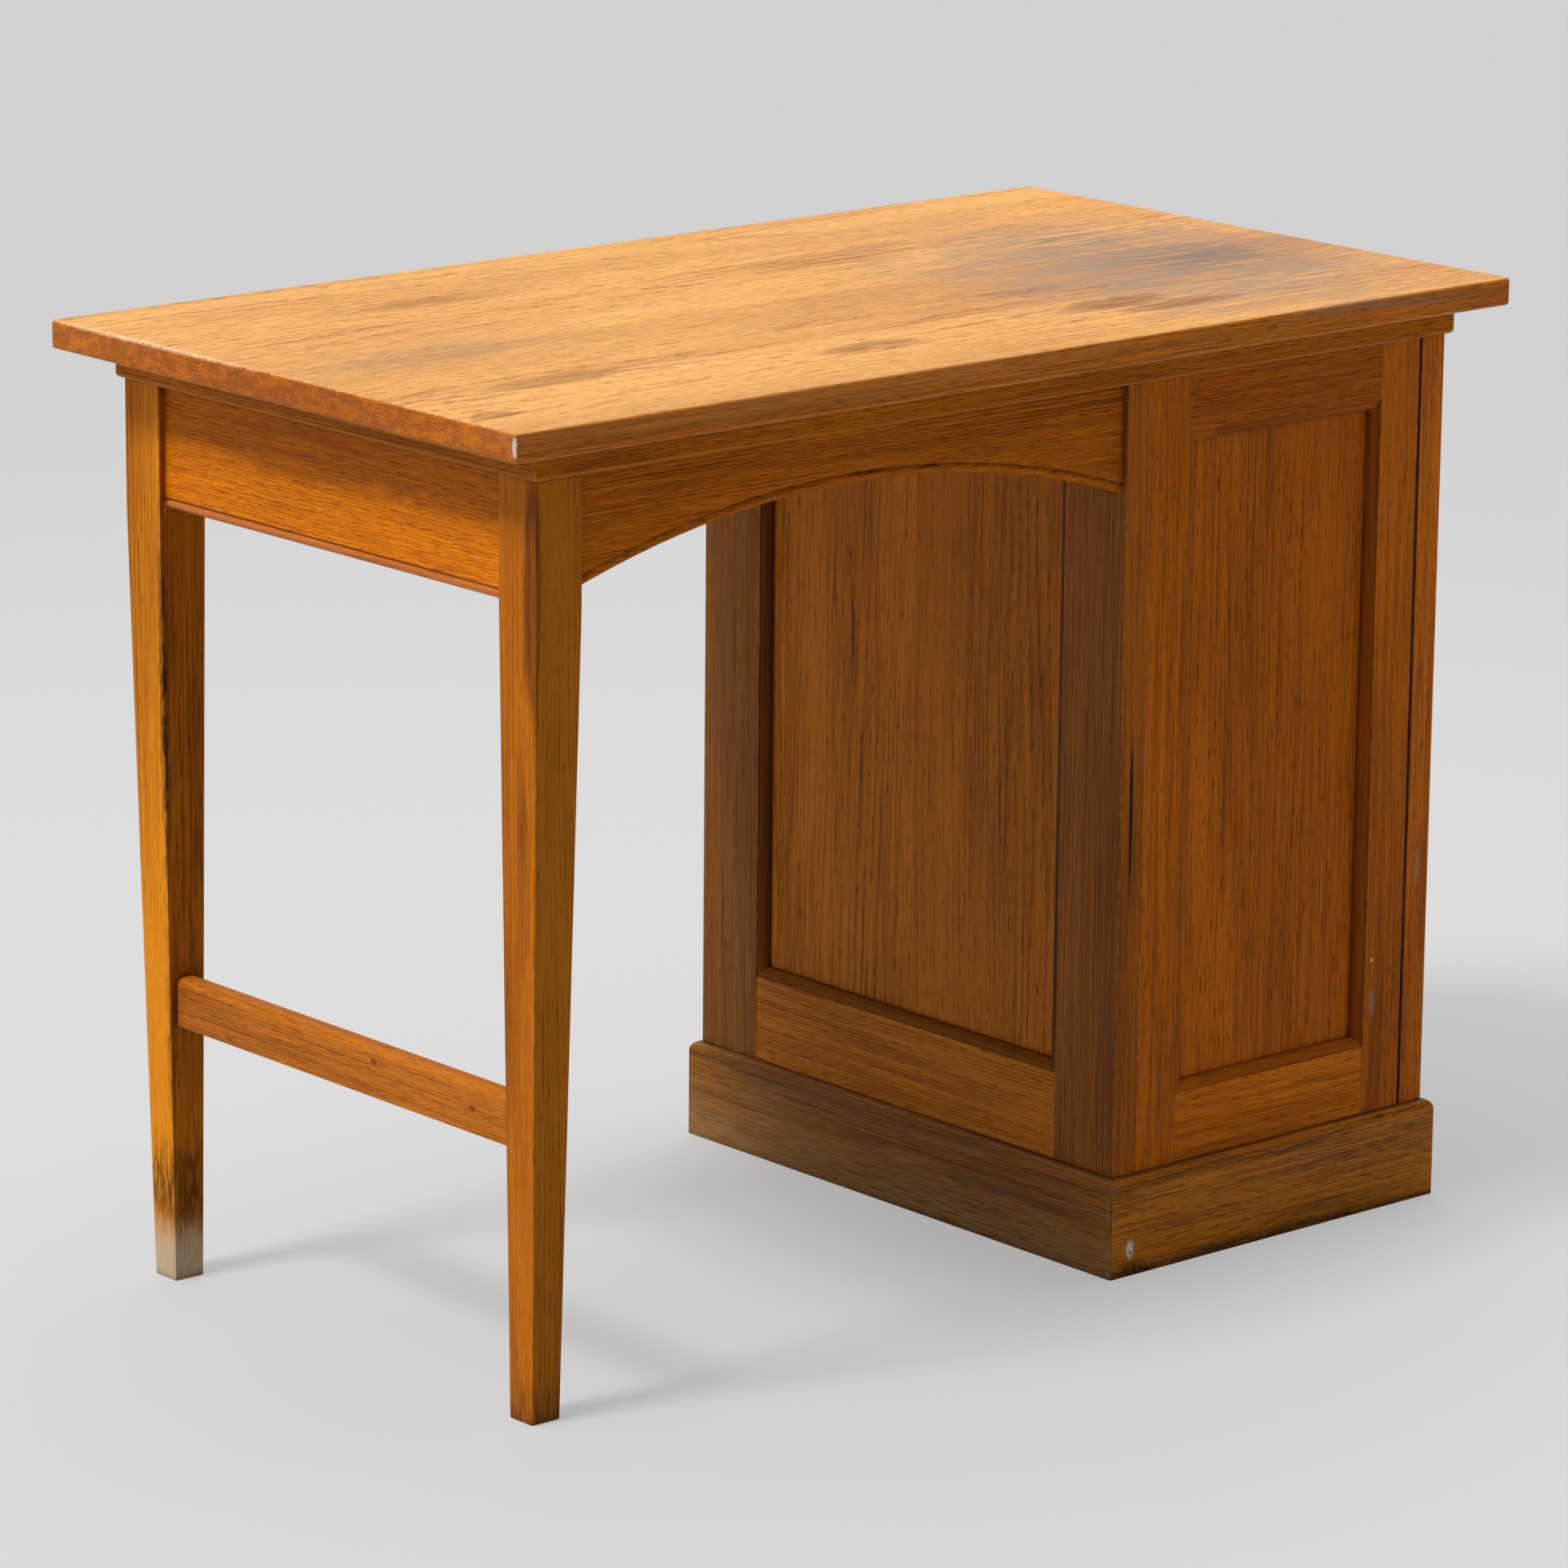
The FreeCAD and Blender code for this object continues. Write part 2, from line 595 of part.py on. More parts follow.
def plinth():
    """Four boards mitred round the foot of the pedestal, rounded along the upper edge."""
    x = (f"({OUTER_FACE} - plinth_projection)", f"({KNEE_FACE} + plinth_projection)")
    y = (f"({FRONT_FACE} - plinth_projection)", f"({BACK_FACE} + plinth_projection)")
    names = {"low_v": "front", "high_v": "back", "high_u": "knee_side", "low_u": "outer_side"}
    for side, plan in mitred(x, y, "plinth_thickness").items():
        label = f"plinth_{names[side]}"
        skirt = padded(label, "XY_Plane", plan, "plinth_height", ("0", "0", "0"))
        upper_edge = edge_middle("XY_Plane", *plan[:2], worth("plinth_height"))
        keep(round_edges(skirt, "min(plinth_round; plinth_projection)", [upper_edge]), label)
    inner_x = [f"({x[0]} + plinth_thickness)", f"({x[1]} - plinth_thickness - block_width)"]
    inner_y = [f"({y[0]} + plinth_thickness)", f"({y[1]} - plinth_thickness - block_width)"]
    blocks = []
    for i, block_x in enumerate(inner_x):
        for j, block_y in enumerate(inner_y):
            span_x = (block_x, f"({block_x} + block_width)")
            span_y = (block_y, f"({block_y} + block_width)")
            blocks.append(board(f"corner_block_{i}{j}", span_x, span_y, ("block_floor_gap", "plinth_height")))
    batten_y = (BATTEN_FACE, BACK_INSIDE)
    batten_spans = {
        "outer": (OUTER_INSIDE, f"({OUTER_INSIDE} + batten_width)"),
        "knee": (f"({KNEE_INSIDE} - batten_width)", KNEE_INSIDE),
    }
    for name, span in batten_spans.items():
        blocks.append(board(f"{name}_batten", span, batten_y, (CARCASS_FLOOR, FRAME_UNDERSIDE)))
    keep(group("glue_blocks", blocks), "glue_blocks")
    floor_y = (FRONT_FACE, BACK_INSIDE)
    keep(board("pedestal_bottom", (OUTER_INSIDE, KNEE_INSIDE), floor_y, ("plinth_height", CARCASS_FLOOR)),
         "pedestal_bottom")


def hanger_height_span(slack):
    """Height of the strips that the knee drawer hangs on, with room for them to slide."""
    middle = f"({FRIEZE_FLOOR} + (frieze_opening + knee_drawer_lift)/2)"
    return f"({middle} - hanger_height/2 - {slack})", f"({middle} + hanger_height/2 + {slack})"


def runners():
    """Strips on which the pedestal's drawers run, and the two that carry the knee drawer."""
    strips = []
    sides = {
        "outer": (OUTER_INSIDE, f"({OUTER_INSIDE} + runner_width)"),
        "knee": (f"({KNEE_INSIDE} - runner_width)", KNEE_INSIDE),
    }
    y = (f"({FRONT_FACE} + divider_depth)", BATTEN_FACE)
    for number in range(1, DEEP_DRAWERS + 1):
        floor = deep_floor(number)
        for name, x in sides.items():
            strips.append(board(f"{name}_runner_{number}", x, y, (f"({floor} - divider_thickness)", floor)))
    hanger_y = (f"({FRONT_FACE} + leg_top_width)", f"({FRONT_FACE} + {KNEE_DRAWER_LENGTH})")
    hangers = {
        "pedestal": (KNEE_FACE, f"({KNEE_FACE} + drawer_gap + hanger_bite - running_gap)"),
        "leg": (f"({LEG_INSIDE} - drawer_gap - hanger_bite + running_gap)", APRON_INSIDE),
    }
    for name, x in hangers.items():
        strips.append(board(f"{name}_hanger", x, hanger_y, hanger_height_span("0")))
    keep(group("drawer_runners", strips), "drawer_runners")


def stops(openings):
    """Blocks behind each drawer front that stop the drawer when it is shut."""
    blocks = []
    y = (f"({FRONT_INSIDE} + running_gap)", f"({FRONT_INSIDE} + running_gap + stop_depth)")
    for number, (x, floor) in enumerate(openings):
        for place, share in {"left": "1/4", "right": "3/4"}.items():
            middle = f"({x[0]} + ({x[1]} - {x[0]})*{share})"
            span = (f"({middle} - stop_length/2)", f"({middle} + stop_length/2)")
            blocks.append(board(f"stop_{number}_{place}", span, y, (floor, f"({floor} + stop_height)")))
    keep(group("drawer_stops", blocks), "drawer_stops")


def drawer_side(label, near_side, floor, height, length, tails):
    """A drawer side: dovetails at the front, and room for the pins of the back behind."""
    end = f"({length} - drawer_front_thickness)"
    shoulder = f"({end} - drawer_back_thickness)"
    front_pin = "(pin_width + 2*tail_length/dovetail_slope)"
    back_pin = "(pin_width + 2*drawer_back_thickness/dovetail_slope)"
    back_foot = "(drawer_bottom_rise + drawer_bottom_thickness)"
    pitch = f"({height}/{tails})"
    corners = [("0", "0"), (end, "0")]
    for number in range(1, BACK_TAILS):
        centre = f"({back_foot} + ({height} - drawer_back_drop - {back_foot})*{number}/{BACK_TAILS})"
        corners.append((end, f"{centre} - pin_width/2"))
        corners.append((shoulder, f"{centre} - {back_pin}/2"))
        corners.append((shoulder, f"{centre} + {back_pin}/2"))
        corners.append((end, f"{centre} + pin_width/2"))
    corners.append((end, height))
    corners.append(("0", height))
    for number in reversed(range(tails)):
        low, high = f"{number}*{pitch}", f"{number + 1}*{pitch}"
        corners.append(("0", f"{high} - {front_pin}/2"))
        corners.append(("-tail_length", f"{high} - pin_width/2"))
        corners.append(("-tail_length", f"{low} + pin_width/2"))
        corners.append(("0", f"{low} + {front_pin}/2"))
    return padded(label, "YZ_Plane", corners, "drawer_side_thickness", (near_side, FRONT_INSIDE, floor))


def knob(label, x, z):
    """A turned knob with a stem through the drawer front."""
    rim, neck, base = "knob_diameter/2", "knob_neck_diameter/2", "knob_base_diameter/2"
    cove = f"({base} - {neck})"
    swell = f"({SWELL_SHARE}*sqrt(({rim} - {neck})^2 + (knob_rim_distance - knob_neck_length)^2))"
    crown = "(knob_projection - knob_rim_distance)"
    dome = f"((({rim})^2 + {crown}^2)/(2*{crown}))"
    corners = [
        ("0", "drawer_front_thickness"),
        ("0", "-knob_projection"),
        (rim, "-knob_rim_distance"),
        (neck, "-knob_neck_length"),
        (neck, f"-knob_base_thickness - {cove}"),
        (base, "-knob_base_thickness"),
        (base, "0"),
        ("knob_stem_diameter/2", "0"),
        ("knob_stem_diameter/2", "drawer_front_thickness"),
    ]
    arcs = {1: (dome, -1), 2: (swell, 1), 4: (cove, 1)}
    body = new_body(label, (x, FRONT_FACE, z))
    turning = body.newObject("PartDesign::Revolution", f"{label}_turning")
    turning.Profile = outline(body, "XY_Plane", corners, arcs)
    axis = [part for part in body.Origin.OriginFeatures if part.Role == "Y_Axis"][0]
    turning.ReferenceAxis = (axis, [""])
    turning.Angle = 360
    return body


def drawer(name, x, z, length, tails, knob_shares, lift="running_gap", hung=False):
    """A dovetailed drawer in its opening: front, sides and back, bottom and knobs."""
    left, right = f"({x[0]} + drawer_gap)", f"({x[1]} - drawer_gap)"
    floor = f"({z[0]} + {lift})"
    height = f"({z[1]} - drawer_top_gap - {floor})"
    rear = f"({FRONT_FACE} + {length})"
    underside = f"({floor} + drawer_bottom_rise)"
    bottom_z = (underside, f"({underside} + drawer_bottom_thickness)")
    bottom_x = (
        f"({left} + drawer_side_thickness - drawer_groove)",
        f"({right} - drawer_side_thickness + drawer_groove)",
    )
    bottom = board(f"{name}_bottom", bottom_x, (f"({FRONT_INSIDE} - drawer_groove)", rear), bottom_z)
    slots = []
    if hung:
        slot_y = (f"({FRONT_FACE} + leg_top_width - running_gap)", f"({rear} + running_gap)")
        slot_z = hanger_height_span("running_gap")
        slots.append(board(f"{name}_left_slot", (x[0], f"({left} + hanger_bite)"), slot_y, slot_z))
        slots.append(board(f"{name}_right_slot", (f"({right} - hanger_bite)", x[1]), slot_y, slot_z))
    sides = []
    for side, near_side in {"left": left, "right": f"({right} - drawer_side_thickness)"}.items():
        blank = drawer_side(f"{name}_{side}_blank", near_side, floor, height, length, tails)
        sides.append(cut(f"{name}_{side}", blank, bottom, *slots))
    back_y = (f"({rear} - drawer_back_thickness)", rear)
    back_z = (bottom_z[1], f"({floor} + {height} - drawer_back_drop)")
    back_blank = board(f"{name}_back_blank", (left, right), back_y, back_z)
    back = cut(f"{name}_back", back_blank, *sides, *slots)
    middle_z = f"(({z[0]} + {z[1]})/2)"
    knobs = []
    for number, share in enumerate(knob_shares, 1):
        place = f"({x[0]} + ({x[1]} - {x[0]})*{share})"
        knobs.append(knob(f"{name}_knob_{number}", place, middle_z))
    front_x, front_y = (left, right), (FRONT_FACE, FRONT_INSIDE)
    front_z = (f"({z[0]} + drawer_gap)", f"({z[1]} - drawer_gap)")
    blank = board(f"{name}_front_blank", front_x, front_y, front_z)
    keep(cut(f"{name}_front", blank, *sides, bottom, *knobs), f"{name}_front")
    keep(group(f"{name}_box", [*sides, back]), f"{name}_box")
    keep(bottom, f"{name}_bottom")
    if len(knobs) == 1:
        keep(knobs[0], f"{name}_knob")
    else:
        keep(group(f"{name}_knobs", knobs), f"{name}_knobs")


def drawers(dividers):
    """The knee drawer, the shallow drawer beside it and the deep ones below that."""
    frieze = (FRIEZE_FLOOR, FRAME_UNDERSIDE)
    bay, knee_bay = (OUTER_INSIDE, KNEE_INSIDE), (KNEE_FACE, LEG_INSIDE)
    middle, pair = ("1/2",), ("1/4", "3/4")
    hung = (KNEE_DRAWER_LENGTH, SHALLOW_TAILS, pair, "knee_drawer_lift", True)
    drawer("knee_drawer", knee_bay, frieze, *hung)
    drawer("top_drawer", bay, frieze, DRAWER_LENGTH, SHALLOW_TAILS, middle)
    openings = [(knee_bay, FRIEZE_FLOOR), (bay, FRIEZE_FLOOR)]
    names = ("bottom_drawer", "third_drawer", "second_drawer")
    for number, name in enumerate(names):
        floor = deep_floor(number)
        drawer(name, bay, (floor, f"({floor} + {DEEP_OPENING})"), DRAWER_LENGTH, DEEP_TAILS, middle)
        openings.append((bay, floor))
    stops(openings)
    keep(group("drawer_dividers", dividers), "drawer_dividers")


def build():
    """Make every piece, each fitted to the ones made before it."""
    screws = top_screws()
    table_top(screws)
    top_frame(screws)
    end_apron = leg_end_apron()
    arch = arched_apron(end_apron)
    stretcher = leg_stretcher()
    knee_span = (KNEE_FACE, LEG_INSIDE)
    knee_tenons = ("divider_tenon_length", LEG_TENON)
    knee_bar = cross_bar("knee_bar", knee_span, "knee_rail_depth", FRIEZE_FLOOR, knee_tenons)
    knee_rail = keep(cut("knee_rail", knee_bar, end_apron), "knee_rail")
    tapered_leg("leg_front", FRONT_LEG_AXIS, "leg_foot_lean", end_apron, stretcher, knee_rail)
    tapered_leg("leg_back", BACK_LEG_AXIS, "-leg_foot_lean", end_apron, stretcher, arch)
    bay = (OUTER_INSIDE, KNEE_INSIDE)
    tenons = ("divider_tenon_length", "divider_tenon_length")
    dividers = [
        cross_bar(f"divider_{number}", bay, "divider_depth", deep_floor(number), tenons)
        for number in range(1, DEEP_DRAWERS + 1)
    ]
    pedestal_walls(dividers, knee_rail, arch)
    plinth()
    runners()
    drawers(dividers)
    doc.recompute()


def check():
    """Stop if any object failed or any piece has no sound solid."""
    for item in doc.Objects:
        if "Invalid" in item.State or "Error" in item.State:
            raise RuntimeError(f"{item.Label} failed: {item.State}")
    for piece in pieces:
        shape = piece.Shape
        if shape.isNull() or not shape.isValid() or not shape.Solids:
            raise RuntimeError(f"{piece.Label} has no sound solid")


def write():
    """Write one file for each piece."""
    os.makedirs("parts", exist_ok=True)
    for piece in pieces:
        piece.Shape.exportStep(f"parts/{piece.Label}.step")
        print(f"{piece.Label}: {len(piece.Shape.Solids)} solids, {piece.Shape.Volume/1000:.1f} cm3")


build()
check()
write()
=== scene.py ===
import math

import bpy
from mathutils import Matrix, Vector


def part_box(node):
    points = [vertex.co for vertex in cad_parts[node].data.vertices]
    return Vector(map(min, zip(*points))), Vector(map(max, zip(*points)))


# An old oak writing desk: the boards come from the frame, and this script gives them their eased
# arrises, their oiled and worn oak, the floor, the light and the camera. Lengths are in metres.

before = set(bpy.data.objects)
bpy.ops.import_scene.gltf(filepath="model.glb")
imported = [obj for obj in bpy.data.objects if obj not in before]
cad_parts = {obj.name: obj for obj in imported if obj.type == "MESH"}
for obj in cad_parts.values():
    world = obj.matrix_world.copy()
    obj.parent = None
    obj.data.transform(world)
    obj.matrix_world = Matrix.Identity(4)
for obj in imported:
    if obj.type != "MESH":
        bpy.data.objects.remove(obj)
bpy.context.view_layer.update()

# Camera, turned and tipped to look at the desk's back and its leg end
CAMERA_AT = (3.6623, 4.1938, 1.7898)
CAMERA_TURN = 41.066
CAMERA_DIP = 14.208
CAMERA_ROLL = 0.535
CAMERA_LENS = 162.56
CAMERA_SENSOR = 36
CAMERA_REACH = 200

# Light: where each lamp stands, its strength and its spread in degrees, and the light of the room
LAMPS = {
    "key_light": ((1.0, -0.12, 1.45), 2.5, 14),
    "side_light": ((1.0, -0.12, 1.3), 0.8, 100),
    "ceiling_light": ((-0.25, -0.35, 1.0), 1.9, 80),
}
ROOM_LIGHT = 0.10
ROOM_TONE = (0.98, 0.99, 1.0, 1)
BACKGROUND = (0.725, 0.725, 0.73, 1)
FLOOR_TONE = (0.485, 0.485, 0.488, 1)
FLOOR_MIDDLE = (0.4, 0.0, 0.0)
# Far from the desk the floor is made darker: painted fall-off of the light
FLOOR_FAR = 0.875
FLOOR_FADE = (1.1, 4.6)
FLOOR_GLOW = 0.5
FLOOR_REACH = 40

# How the grain lies: the turn that brings a board's length onto the first axis, and how far along one
# length of timber each next board and glued plank is taken, so that no two share a figure
LAYS = {"X": (0, 0, 0), "Y": (0, 0, math.pi/2), "Z": (0, -math.pi/2, 0)}
BOARD_STEP = 7.3
PLANK_STEP = 3.71
GRAIN_DEPTH = 0.0004
GRAIN_STRENGTH = 0.3

# Eased arrises: what counts as one corner, one flat face and one arris, the angles in degrees
SAME_CORNER = 1e-6
SAME_FACE = 0.1
ARRIS_ANGLE = 35
ARRIS_STEPS = 2


def tone(code):
    """A colour written as in a paint chart, such as c07a2c, as light values."""
    values = [int(code[i:i + 2], 16)/255 for i in (0, 2, 4)]
    return *[v/12.92 if v <= 0.04045 else ((v + 0.055)/1.055)**2.4 for v in values], 1


class Web:
    """Writes nodes into one node tree; an input takes a value or another node's output."""

    def __init__(self, tree):
        self.tree = tree

    def node(self, kind, inputs=None, **settings):
        node = self.tree.nodes.new(f"ShaderNode{kind}")
        for name, value in settings.items():
            setattr(node, name, value)
        for name, value in (inputs or {}).items():
            self.feed(node.inputs[name], value)
        return node

    def feed(self, socket, value):
        if isinstance(value, bpy.types.NodeSocket):
            self.tree.links.new(value, socket)
        else:
            socket.default_value = value

    def math(self, operation, *values, clamp=False):
        node = self.node("Math", operation=operation, use_clamp=clamp)
        for socket, value in zip(node.inputs, values):
            self.feed(socket, value)
        return node.outputs[0]

    def vector(self, operation, *values):
        node = self.node("VectorMath", operation=operation)
        for socket, value in zip(node.inputs, values):
            self.feed(socket, value)
        return node.outputs["Value" if operation in ("LENGTH", "DOT_PRODUCT") else "Vector"]

    def step(self, value, low, high, start=0.0, end=1.0):
        """A smooth change from start to end while the value goes from low to high."""
        inputs = {"Value": value, "From Min": low, "From Max": high, "To Min": start, "To Max": end}
        return self.node("MapRange", inputs, interpolation_type="SMOOTHSTEP").outputs["Result"]

    def mix(self, factor, first, second, blend="MIX"):
        node = self.node("Mix", data_type="RGBA", blend_type=blend)
        for number, value in ((0, factor), (6, first), (7, second)):
            self.feed(node.inputs[number], value)
        return node.outputs[2]

    def noise(self, vector, stretch, detail=0.0, output="Fac"):
        """Noise whose cells per metre are given along each axis."""
        spread = self.vector("MULTIPLY", vector, stretch)
        return self.node("TexNoise", {"Vector": spread, "Scale": 1.0, "Detail": detail}).outputs[output]

    def parts(self, vector):
        return self.node("SeparateXYZ", {"Vector": vector}).outputs

    def mix_shaders(self, factor, first, second):
        node = self.node("MixShader", {"Fac": factor})
        for number, shader in ((1, first), (2, second)):
            self.tree.links.new(shader.outputs[0], node.inputs[number])
        return node

    def surface(self, shader, output="OutputMaterial"):
        """End the tree with this shader."""
        self.tree.links.new(shader.outputs[0], self.node(output).inputs["Surface"])

    def place(self, group, **inputs):
        """One of the shared effects, with this material's own values."""
        node = self.tree.nodes.new("ShaderNodeGroup")
        node.node_tree = group
        for name, value in inputs.items():
            self.feed(node.inputs[name.replace("_", " ").title()], value)
        return node.outputs


def new_material(name):
    """A material with an empty tree, and the web that writes into it."""
    material = bpy.data.materials.new(name)
    material.use_nodes = True
    material.node_tree.nodes.clear()
    return material, Web(material.node_tree)


def effect(name, inputs, outputs):
    """A new shared effect: its web, the outputs of its input node, and a function that closes it."""
    tree = bpy.data.node_groups.new(name, "ShaderNodeTree")
    kinds = {1: "NodeSocketFloat", 3: "NodeSocketVector", 4: "NodeSocketColor"}
    for label, value in inputs.items():
        length = len(value) if isinstance(value, tuple) else 1
        socket = tree.interface.new_socket(label, in_out="INPUT", socket_type=kinds[length])
        socket.default_value = value
    for label, length in outputs.items():
        tree.interface.new_socket(label, in_out="OUTPUT", socket_type=kinds[length])
    given = tree.nodes.new("NodeGroupInput").outputs
    result = tree.nodes.new("NodeGroupOutput")
    web = Web(tree)

    def close(**values):
        for label, value in values.items():
            web.feed(result.inputs[label.title()], value)
        return tree

    return web, given, close


def make_planks():
    """Boards glued side by side across the grain: each has its own stretch of grain and its own tone."""
    web, given, close = effect(
        "planks", {"Vector": (0.0, 0.0, 0.0), "Across": (0.0, 1.0, 0.0), "Width": 0.15, "Spread": 0.1},
        {"Vector": 3, "Tone": 1},
    )
    across = web.math("DIVIDE", web.vector("DOT_PRODUCT", given["Vector"], given["Across"]), given["Width"])
    number = web.math("FLOOR", across)
    middle = web.math("MULTIPLY", web.math("ADD", number, 0.5), given["Width"])
    tint = web.node("TexWhiteNoise", {"W": number}, noise_dimensions="1D").outputs["Value"]
    moved = web.math("MULTIPLY", web.math("SUBTRACT", tint, 0.5), given["Spread"])
    shift = web.vector("MULTIPLY", given["Across"], web.math("ADD", middle, moved))
    along = web.node("CombineXYZ", {"X": web.math("MULTIPLY", number, PLANK_STEP)}).outputs[0]
    return close(vector=web.vector("ADD", web.vector("SUBTRACT", given["Vector"], shift), along), tone=tint)


def make_aged_oak():
    """Growth rings, pores, ray ends and fibres of oiled oak, with the grain along X."""
    web, given, close = effect(
        "aged_oak",
        {
            "Vector": (0.0, 0.0, 0.0), "Normal": (0.0, 0.0, 1.0),
            "Pale": tone("c07a2c"), "Deep": tone("8a4812"), "Pore": tone("3a1c0a"), "End": tone("b09080"),
            "Ring Width": 0.003, "Heart": (0.0, 0.3, 0.0), "Wander": 0.006, "Ripple": 0.0003,
            "Rings": 0.5, "Pores": 0.6, "Rays": 0.4, "Fibre": 1.0, "Cloud": 0.5,
        },
        {"Color": 4, "Roughness": 1, "Height": 1},
    )

    def drift(vector, stretch, amount):
        lean = web.vector("SUBTRACT", web.noise(vector, stretch, 1, "Color"), (0.5, 0.5, 0.5))
        return web.vector("ADD", vector, web.vector("MULTIPLY", lean, web.math("MULTIPLY", amount, 2.0)))

    def swing(value, amount):
        return web.math("MULTIPLY", web.math("SUBTRACT", value, 0.5), amount)

    place = given["Vector"]
    lines = drift(drift(place, (1.1, 8, 8), given["Wander"]), (55, 150, 150), given["Ripple"])
    from_heart = web.vector("MULTIPLY", web.vector("SUBTRACT", lines, given["Heart"]), (0, 1, 1))
    radius = web.math("DIVIDE", web.vector("LENGTH", from_heart), given["Ring Width"])
    uneven = web.noise(lines, (0.8, 45, 45), 1)
    ring = web.math("FRACT", web.math("ADD", radius, web.math("MULTIPLY", uneven, 2.2)))
    early = web.math("MULTIPLY", web.step(ring, 0.0, 0.08), web.step(ring, 0.08, 0.42, 1.0, 0.0))
    broken = web.step(web.noise(lines, (13, 130, 130), 2), 0.36, 0.6, 0.2, 1.0)
    pore_cells = web.noise(lines, (70, 1000, 1000), 1)
    pores = web.math("MULTIPLY", web.step(pore_cells, 0.54, 0.68), web.step(early, 0.0, 1.0, 0.35, 1.0))
    rays = web.step(web.noise(lines, (52, 720, 720), 1), 0.55, 0.67)
    fibres = web.noise(lines, (7, 300, 300), 3)
    cloud = web.noise(place, (1.7, 9, 9), 2)
    depth = web.math("MULTIPLY", web.math("MULTIPLY", early, broken), given["Rings"])
    depth = web.math("ADD", depth, swing(fibres, given["Fibre"]))
    depth = web.math("ADD", depth, web.math("MULTIPLY", swing(cloud, 2.4), given["Cloud"]))
    body = web.mix(web.math("ADD", depth, 0.2, clamp=True), given["Pale"], given["Deep"])
    body = web.mix(web.math("MULTIPLY", pores, given["Pores"]), body, given["Pore"])
    body = web.mix(web.math("MULTIPLY", rays, given["Rays"]), body, given["Pore"])
    end = web.step(web.math("ABSOLUTE", web.parts(given["Normal"])[0]), 0.55, 0.85)
    body = web.mix(end, body, web.mix(1.0, body, given["End"], "MULTIPLY"))
    open_grain = web.math("ADD", pores, web.math("MULTIPLY", rays, 0.5))
    height = web.math("SUBTRACT", web.math("MULTIPLY", fibres, 0.35), open_grain)
    rough = web.math("ADD", web.math("MULTIPLY", pores, 0.16), web.math("MULTIPLY", cloud, 0.14))
    return close(color=body, roughness=rough, height=height)


def make_worn_edges():
    """Where an arris is rubbed: near the edges of a piece, broken up by noise."""
    web, given, close = effect(
        "worn_edges", {"Vector": (0.0, 0.0, 0.0), "Reach": 0.003, "Ragged": 0.6}, {"Mask": 1},
    )
    eased = web.node("Bevel", {"Radius": given["Reach"]}, samples=4).outputs[0]
    face = web.node("NewGeometry").outputs["Normal"]
    edge = web.step(web.vector("DOT_PRODUCT", eased, face), 0.98, 0.8)
    breaks = web.noise(given["Vector"], (90, 90, 90), 3)
    limit = web.math("MULTIPLY", given["Ragged"], 0.75)
    return close(mask=web.math("MULTIPLY", edge, web.step(breaks, limit, web.math("ADD", limit, 0.15))))


def make_grime_and_shade():
    """Dirt and old polish that stay where pieces meet, and painted shade: darker wherever other surfaces
    close in within the reach.
    """
    web, given, close = effect(
        "grime_and_shade", {"Vector": (0.0, 0.0, 0.0), "Reach": 0.01, "Ragged": 0.5}, {"Mask": 1},
    )
    openness = web.node("AmbientOcclusion", {"Distance": given["Reach"]}, samples=6).outputs["AO"]
    closed = web.step(openness, 0.85, 0.35)
    breaks = web.math("MULTIPLY", web.noise(given["Vector"], (120, 120, 120), 3), given["Ragged"])
    return close(mask=web.math("SUBTRACT", closed, web.math("MULTIPLY", breaks, closed), clamp=True))


def make_mark():
    """One stain, chip or smear, or one painted shadow, sheen or highlight: a ragged patch about a place on
    the desk.
    """
    web, given, close = effect(
        "mark",
        {"Vector": (0.0, 0.0, 0.0), "Middle": (0.0, 0.0, 0.0), "Reach": (0.01, 0.01, 0.01), "Ragged": 0.6,
         "Grit": (200.0, 200.0, 200.0)},
        {"Mask": 1},
    )
    away = web.vector("DIVIDE", web.vector("SUBTRACT", given["Vector"], given["Middle"]), given["Reach"])
    breaks = web.noise(given["Vector"], given["Grit"], 4)
    amount = web.math("MULTIPLY", given["Ragged"], 3.0)
    ragged = web.math("MULTIPLY", web.math("SUBTRACT", breaks, 0.5), amount)
    distance = web.math("ADD", web.vector("LENGTH", away), ragged)
    streaks = web.math("MULTIPLY", web.step(breaks, 0.6, 0.38), given["Ragged"])
    inside = web.math("SUBTRACT", 1.0, web.math("MULTIPLY", streaks, 0.85), clamp=True)
    return close(mask=web.math("MULTIPLY", web.step(distance, 1.0, 0.5), inside))


def make_floor_wear():
    """Scuffs and mop marks that fade upwards from the floor."""
    web, given, close = effect(
        "floor_wear",
        {"Vector": (0.0, 0.0, 0.0), "Height": 0.03, "Ragged": 0.5, "Grit": (40.0, 40.0, 600.0)},
        {"Mask": 1},
    )
    up = web.math("DIVIDE", web.parts(given["Vector"])[2], given["Height"])
    breaks = web.noise(given["Vector"], (9, 9, 60), 4)
    amount = web.math("MULTIPLY", given["Ragged"], 3.0)
    ragged = web.math("MULTIPLY", web.math("SUBTRACT", breaks, 0.5), amount)
    scuffs = web.step(web.noise(given["Vector"], given["Grit"], 3), 0.36, 0.62, 0.2, 1.0)
    return close(mask=web.math("MULTIPLY", web.step(web.math("ADD", up, ragged), 1.3, 0.1), scuffs))


def make_level_strips():
    """In a mitred moulding, 1 on the strips that lie level and 0 on the upright ones."""
    web, given, close = effect(
        "level_strips",
        {"Vector": (0.0, 0.0, 0.0), "Middle": (0.0, 0.0, 0.0), "Along": (1.0, 0.0, 0.0), "Excess": 0.0},
        {"Mask": 1},
    )
    away = web.vector("ABSOLUTE", web.vector("SUBTRACT", given["Vector"], given["Middle"]))
    short = web.math("SUBTRACT", web.parts(away)[2], web.vector("DOT_PRODUCT", away, given["Along"]))
    return close(mask=web.step(web.math("SUBTRACT", short, given["Excess"]), -0.0002, 0.0002))


